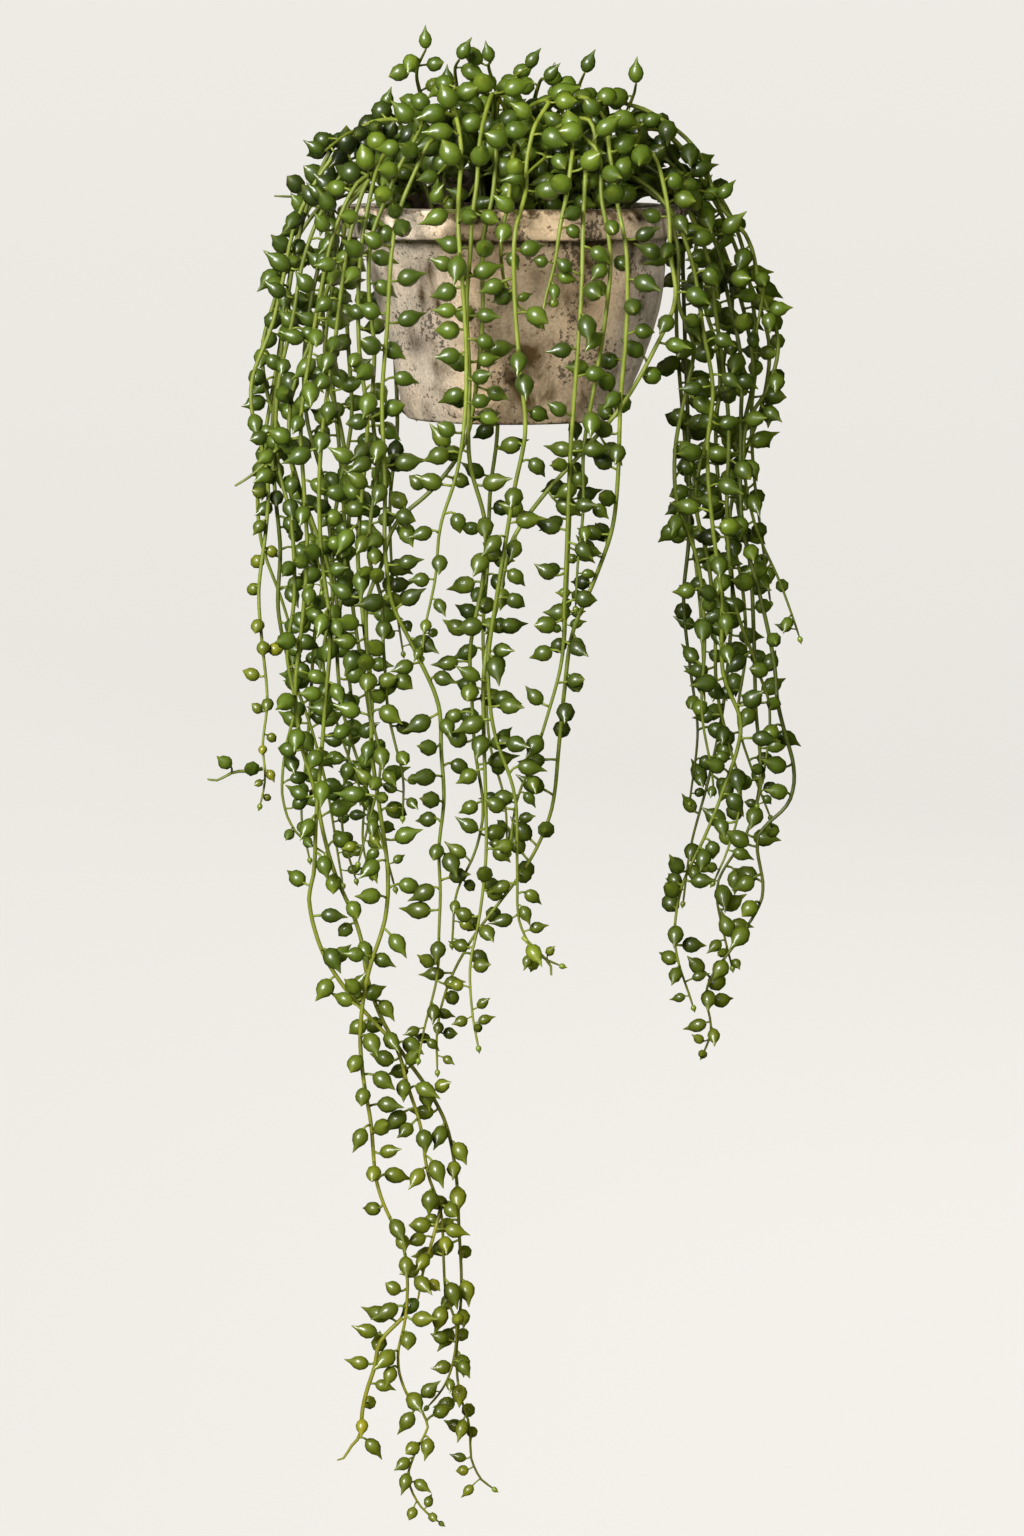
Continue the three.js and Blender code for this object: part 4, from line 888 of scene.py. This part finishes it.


# Living leaf skin: smooth and waxy, with a soft satin gloss. Its colour runs from deep green on old pearls
# to yellow-green on young ones, and the point is a little paler. Low strands, which get the most sun, are
# more olive. The tone also carries painted shade on pearls deep in the mound and in the right bundle, and
# painted light on the outer mound and the left bundle.
pearl_skin, add, shader, place = new_material("waxy_leaf_skin")
tone, reach, sallow = (add("Attribute", attribute_name=label).outputs["Fac"]
                       for label in ("tone", "reach", "sallow"))
cloud = add("TexNoise", {"Vector": place, "Scale": 260, "Detail": 2})
mixed = add("Math", {0: cloud, 1: 0.24, 2: -0.12}, operation="MULTIPLY_ADD")
shade = add("Math", {0: tone, 1: mixed}, operation="ADD")
green = add("ValToRGB", {0: shade}, stops=(
    (0, "#232d06"), (0.14, "#2d3b07"), (0.32, "#3d4e0b"),
    (0.58, "#526414"), (0.82, "#697819"), (1, "#848a18")))
olive = add("Mix", {0: sallow, 6: green, 7: "#fce5a8"}, data_type="RGBA", blend_type="MULTIPLY")
pale = add("MapRange", {0: reach, 1: 0.72, 2: 1, 3: 0, 4: 0.25})
tipped = add("Mix", {0: pale, 6: olive, 7: "#828624"}, data_type="RGBA")
skin = add("TexNoise", {"Vector": place, "Scale": 1500, "Detail": 2})
relief = add("Bump", {"Strength": 0.06, "Distance": 0.0003, "Height": skin})
connect(shader, {"Base Color": tipped, "Normal": relief, "Roughness": 0.5, "IOR": 1.5,
                 "Coat Weight": 0.6, "Coat Roughness": 0.2, "Subsurface Weight": 0.08,
                 "Subsurface Radius": (0.5, 0.9, 0.2), "Subsurface Scale": 0.002})

# Stem skin: the same wax over paler green, a little duller, yellower towards the tips. Its tone carries
# painted light on stems in front of the pot, and painted shade at the rooted ends and on the right bundle.
stem_skin, add, shader, place = new_material("green_stem_skin")
tone, sallow = (add("Attribute", attribute_name=label).outputs["Fac"] for label in ("tone", "sallow"))
streak = add("TexNoise", {"Vector": place, "Scale": 180, "Detail": 3})
mixed = add("Math", {0: streak, 1: 0.5, 2: -0.25}, operation="MULTIPLY_ADD")
shade = add("Math", {0: tone, 1: mixed}, operation="ADD")
green = add("ValToRGB", {0: shade}, stops=((0, "#343b0e"), (0.5, "#606b1b"), (1, "#8a953a")))
olive = add("Mix", {0: sallow, 6: green, 7: "#fce5a8"}, data_type="RGBA", blend_type="MULTIPLY")
connect(shader, {"Base Color": olive, "Roughness": 0.5, "Specular IOR Level": 0.4,
                 "Subsurface Weight": 0.05, "Subsurface Scale": 0.001})

# Leafy stems
# Every stem is one piece: its tube, the stalks that leave it and their pearls. Pearls
# keep clear of the pot, of each other and of the other stems, as they do when they grow.
HANGING_SPACING = 9.6
MOUND_SPACING = 10.1
HANGING_PEARL = 3.4
MOUND_PEARL = 3.9
# Pearls shrink over this length to a stem's tip, down to this share of their size
YOUNG_STRETCH = 50
YOUNGEST = 0.55
# Below this height, over this length, the strands turn olive and their pearls smaller
LOW_FROM, LOW_REACH = -130, 170
# The strand at the left edge is young: yellow-green, with small round pearls low down
EDGE_STRAND = "left_01"
EDGE_TONE = 0.3
# How much paler than the others the stems and the pearls of a bundle are, below zero darker: the right
# bundle's darker tone is painted shade, the left bundle's lighter pearls are painted light
STEM_TONES = {"left": -0.06, "front": -0.08, "right": -0.18}
PEARL_TONES = {"left": 0.05, "right": -0.04}
# How many pearls have each form, from round to pointed
MOUND_SHARES, RIGHT_SHARES, EDGE_SHARES = (6, 5, 1), (1, 3, 5), (6, 3, 0)
# Shares of the pearls that change sides from the last one, that stand ahead of their stem,
# in the left bundle and in the others, and that follow the last as a pair
CHANGE_SIDE = 0.85
AHEAD_LEFT, AHEAD = 0.42, 0.22
PAIRED = 0.25
# Each pearl is tried at up to so many places, and left out if none is clear
TRIES = 9
# The plant's outline from the front, 1.7 m away: at each height, how far the leaves reach
# to the left, where the middle strands end and the right ones begin, and the right edge
OUTLINE = (
    (-450, -66, -18, 72, 81), (-410, -70, -11, 72, 81), (-376, -60, -16, 72, 81), (-342, -55, -14, 72, 81),
    (-309, -59, -11, 72, 81), (-276, -66, -20, 72, 81), (-259, -67, -10, 70, 82), (-243, -72, 12, 67, 86),
    (-226, -80, 17, 61, 90), (-210, -84, 16, 58, 97), (-177, -93, 12, 63, 101), (-161, -98, 18, 66, 114),
    (-145, -100, 12, 70, 114), (-129, -104, 21, 68, 114), (-97, -104, 31, 69, 108), (-81, -103, 30, 64, 112),
    (-65, -104, 36, 60, 111), (-49, -101, 40, 58, 102), (-17, -102, 44, 61, 100), (-1, -107, 46, 62, 107),
    (15, -103, 55, 55, 107), (30, -104, 56, 56, 112), (46, -98, 56, 56, 107), (62, -95, 56, 56, 99),
    (77, -91, 56, 56, 93), (93, -86, 56, 56, 86), (108, -75, 56, 56, 74), (116, -66, 56, 56, 63),
    (123, -53, 50, 50, 50), (131, -48, 23, 23, 23), (139, -40, 2, 2, 2), (146, -30, -24, -24, -24),
)
OUTLINE_HEIGHTS, *OUTLINE_SIDES = zip(*OUTLINE)
VIEW_DISTANCE, VIEW_HEIGHT = 1700, 128
# The parts of pearls that have been set, by the cell of 12 mm that their centre lies in
CELL = 12
taken = {}
leaf_random = random.Random(11)
stem_samples = []
for own, way in enumerate(ways + [way for _, way in shoots] + sprigs):
    for a, b in zip(way[:-1], way[1:]):
        stem_samples += [(own, a), (own, (a + b) / 2)]
stem_tree = tree_of([point for _, point in stem_samples])


def clear_of_pot(centre, radius):
    """Whether a ball is clear of the pot and the soil."""
    distance = math.hypot(centre[0], centre[1])
    if centre[2] > POT_HEIGHT - 1:
        if distance < inner_radius(SOIL_EDGE) - radius:
            return centre[2] > soil_height(distance) + radius * 0.7
        return centre[2] > POT_HEIGHT + radius or distance > RIM_RADIUS + radius
    if centre[2] < -radius:
        return True
    wall = RIM_RADIUS if centre[2] > RIM_BOTTOM - radius else wall_radius(centre[2]) + LEAN + DIP
    return distance > wall + radius


def in_outline(centre, radius):
    """Whether a leaf's part lies inside the plant's outline from the front."""
    near = VIEW_DISTANCE / (VIEW_DISTANCE + centre[1])
    across, height = centre[0] * near, VIEW_HEIGHT + (centre[2] - VIEW_HEIGHT) * near
    left, middle, gap, right = (np.interp(height, OUTLINE_HEIGHTS, side) for side in OUTLINE_SIDES)
    if middle < across < gap:
        return across + radius < middle + 1 or across - radius > gap - 1
    if across < middle:
        return across - radius > left - 3 and (across + radius < middle + 1 or middle == gap)
    return across + radius < right + 1 and (across - radius > gap - 1 or middle == gap)


def in_opening(centre):
    """Whether a point is in one of the gaps at the front rim where the soil shows."""
    x, y, z = centre
    return y < 60 and (-40 < x < -2 and z < 102 - abs(x + 21) * 0.4 or 46 < x < 58 and z < 92
                       or -66 < x < -50 and z < 95)


def cell_of(centre):
    return tuple(int(c // CELL) for c in centre)


def neighbours(centre):
    """The pearls' parts in a centre's cell and in the cells round it."""
    cell = cell_of(centre)
    for dx in (-1, 0, 1):
        for dy in (-1, 0, 1):
            for dz in (-1, 0, 1):
                yield from taken.get((cell[0] + dx, cell[1] + dy, cell[2] + dz), ())


def is_clear(balls, own, base):
    """Whether the balls (centre, radius) that stand for a pearl touch nothing else."""
    free_edge = len(stems) <= own < len(stems) + len(shoots)
    for centre, radius in balls:
        if not clear_of_pot(centre, radius) or not (free_edge or in_outline(centre, radius)):
            return False
        for other, wide in neighbours(centre):
            room = radius + wide
            if sum((a - b) ** 2 for a, b in zip(centre, other)) < (0.95 * room) ** 2:
                return False
        for _, i, distance in stem_tree.find_range(centre, radius + STEM_RADIUS + 0.2):
            other, point = stem_samples[i]
            if other != own or np.linalg.norm(point - base) > radius + 5:
                return False
    return True


def low_share(height):
    """How far a height lies into the low part of the plant, from 0 to 1."""
    return clamp((LOW_FROM - height) / LOW_REACH)


def stem_shade(point, in_front):
    """How a stem's tone changes along it: rooted ends down in the pot are darker, a painted shade, low ends
    paler, and stems before the pot are paler too, a painted light."""
    x, y, z = point
    old = clamp((114 - z) / 22) * (math.hypot(x, y) < 62)
    return 0.22 * low_share(z) - 0.4 * old + 0.24 * (in_front and z > 0 and y < -45)


def grow(growth, way, own, tone_shift=0.0):
    """Adds a stem's tube, stalks and pearls to growth."""
    line = Way(way)
    name = names[own] if own < len(stems) else ""
    bundle = name.split("_")[0]
    in_left, in_right, in_front = (bundle == side for side in ("left", "right", "front"))
    in_edge = name == EDGE_STRAND
    on_soil = own >= len(stems) or bundle == "mound"
    stem_tone = leaf_random.uniform(0.25, 0.6) + STEM_TONES.get(bundle, 0) + EDGE_TONE * in_edge
    lengths = np.arange(0, line.total, 3.2)
    centres = [line.at(length)[0] for length in lengths] + [way[-1]]
    radii = [line.radius(length) for length in lengths] + [TIP_RADIUS * 0.7]
    growth.tube(centres, radii, 7, [stem_tone + tone_shift + stem_shade(c, in_front) for c in centres],
                (0.94, 0.33, 0.05), [low_share(c[2]) for c in centres])
    at = leaf_random.uniform(2, 6) if own >= len(stems) else HOLE_DEPTH + leaf_random.uniform(1, 5)
    turn_side = leaf_random.choice((0, math.pi))
    strand_tone = leaf_random.uniform(0.22, 0.48)
    strand_spacing = leaf_random.uniform(0.88, 1.12)
    while at < line.total - (7 if on_soil else 1):
        point, along, _ = line.at(at)
        on_mound = point[2] > POT_HEIGHT
        at_edge = in_edge and point[2] < -20
        low = low_share(point[2])
        shrink = (line.total - at) / (YOUNG_STRETCH * (0.5 if in_right else 1))
        young = clamp(YOUNGEST + (1 - YOUNGEST) * shrink, max(YOUNGEST, 0.86 * on_soil))
        full = (MOUND_PEARL if on_mound else HANGING_PEARL - 0.15 * low) * leaf_random.uniform(0.88, 1.12)
        radius = full * young * (0.78 if at_edge else 1)
        shares = (MOUND_SHARES if on_mound else RIGHT_SHARES if in_right else EDGE_SHARES if at_edge
                  else (2, 5, 5 + 3 * low))
        if leaf_random.random() < CHANGE_SIDE:
            turn_side += math.pi
        # Leaves stand mostly to the left and right of a hanging stem, some to its front
        # or back with their points down
        ahead = not on_mound and leaf_random.random() < (AHEAD_LEFT if in_left else AHEAD)
        for tries in range(TRIES):
            angle = turn_side + leaf_random.gauss(0, 0.5) + leaf_random.uniform(-1, 1) * 0.3 * tries
            if ahead:
                angle = -math.pi / 2 + leaf_random.gauss(0, 0.6)
            form = leaf_random.choices((0, 1, 2), shares)[0]
            out = square_to(np.array((math.cos(angle), math.sin(angle), 0)), along)
            stalk = out + along * leaf_random.uniform(-0.5, 0.45)
            droop = leaf_random.uniform(0.5, 1.8) if ahead else leaf_random.uniform(-0.6, 0.7)
            axis = out + along * droop
            if on_mound:
                stalk = stalk + np.array((0, 0, leaf_random.uniform(0, 0.5)))
                axis = axis + np.array([leaf_random.uniform(-0.6, 0.6) for _ in range(3)])
            stalk, axis = unit(stalk), unit(axis)
            long = leaf_random.uniform(1.8, 4) * max(0.7, young) * (0.5 if at_edge else 1) + 0.8 * tries / 4
            # Three balls stand for the pearl: its body, its taper and its point
            length = PEARL_FORMS[form][-1][0]
            foot = point + stalk * (line.radius(at) + long)
            balls = [(tuple(foot + axis * radius * reach), radius * share)
                     for reach, share in ((1, 1), (length * 0.62, 0.6), (length - 0.35, 0.2))]
            x, _, z = body = balls[0][0]
            beside_edge = in_left and not in_edge and x < -88 and -165 < z < -40
            if is_clear(balls, own, point) and not (in_opening(body) and on_mound) and not beside_edge:
                break
        else:
            balls = ()
        if balls:
            for centre, wide in balls:
                taken.setdefault(cell_of(centre), []).append((centre, wide))
            tone = strand_tone + leaf_random.gauss(0, 0.085) + 0.2 * (1 - young) + tone_shift + 0.13 * low
            tone += EDGE_TONE * at_edge + PEARL_TONES.get(bundle, 0)
            if on_mound:
                # Pearls deep inside the mound get a painted shade, a darker tone, and the other mound pearls
                # a little painted light
                inward = clamp((point[1] + 48) / 35) * clamp((126 - point[2]) / 15)
                tone += 0.1 - 0.42 * inward
            if leaf_random.random() < 0.08 * low + 0.01:
                tone += 0.17
            start = point + stalk * line.radius(at) * 0.5
            middle = (start + foot) / 2 + (stalk - axis) * long * 0.12
            growth.tube([start, middle, foot + axis * radius * 0.12],
                        [0.6 * young, 0.48 * young, 0.62 * young], 5, stem_tone + 0.1, along)
            flat = square_to(along, axis)
            flat = flat * math.cos(angle) + np.cross(axis, flat) * math.sin(angle)
            model, faces = pearl_models[form]
            squash = np.array((1, leaf_random.uniform(0.9, 1.02), leaf_random.uniform(0.94, 1.06)))
            sallow = 0.5 * in_front * (point[2] < 0) + 0.3 * in_right + 0.7 * at_edge + 0.9 * low
            growth.add(foot + (model * squash * radius) @ np.array((flat, np.cross(axis, flat), axis)),
                       faces, True, min(0.95, max(0.06, tone)), model[:, 2] / length, min(1, sallow))
        spacing = MOUND_SPACING if on_mound else HANGING_SPACING * strand_spacing
        if in_right and point[2] < -170:
            spacing *= 0.7
        spacing *= (1 - 0.3 * low) * (0.85 if at_edge else 1)
        if in_left or in_right:
            spacing *= 1.1
        paired = leaf_random.random() < PAIRED
        step = leaf_random.uniform(0.4, 0.6) if paired else leaf_random.uniform(0.85, 1.45)
        at += spacing * step * (1 if balls else 0.4) * max(0.7, young)
    # A hanging stem ends in a small bud, one on the mound in a leaf that points upward
    point, along, side = line.at(line.total)
    if on_soil:
        lift = np.array((leaf_random.uniform(-0.6, 0.6), 0, leaf_random.uniform(0.3, 1.6)))
        along = unit(along * np.array((1, 0.4, 1)) + lift)
        side = square_to(side, along)
    model, faces = pearl_models[2 if on_soil else 1]
    bud = leaf_random.uniform(2.5, 3.1) if on_soil else 1.15
    if own < len(stems) or in_outline(point + along * bud * 1.2, bud):
        growth.add(point + (model * bud) @ np.array((side, np.cross(along, side), along)), faces, True,
                   strand_tone if on_soil else 0.75, model[:, 2] / model[:, 2].max())


for own, (name, way) in enumerate(zip(names, ways)):
    growth = Growth()
    grow(growth, way, own)
    for k, (parent, shoot) in enumerate(shoots):
        if parent == name:
            grow(growth, shoot, len(stems) + k, tone_shift=0.15)
    stem = growth.piece("leafy_stem_" + name)
    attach(stem, "root")
    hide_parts(name)
SPRIG_GROUPS = 4
for group in range(SPRIG_GROUPS):
    growth = Growth()
    for k in range(group, MOUND_SPRIGS, SPRIG_GROUPS):
        grow(growth, sprigs[k], len(stems) + len(shoots) + k)
    tuft = growth.piece("mound_sprigs_%d" % (group + 1))
    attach(tuft, "root")
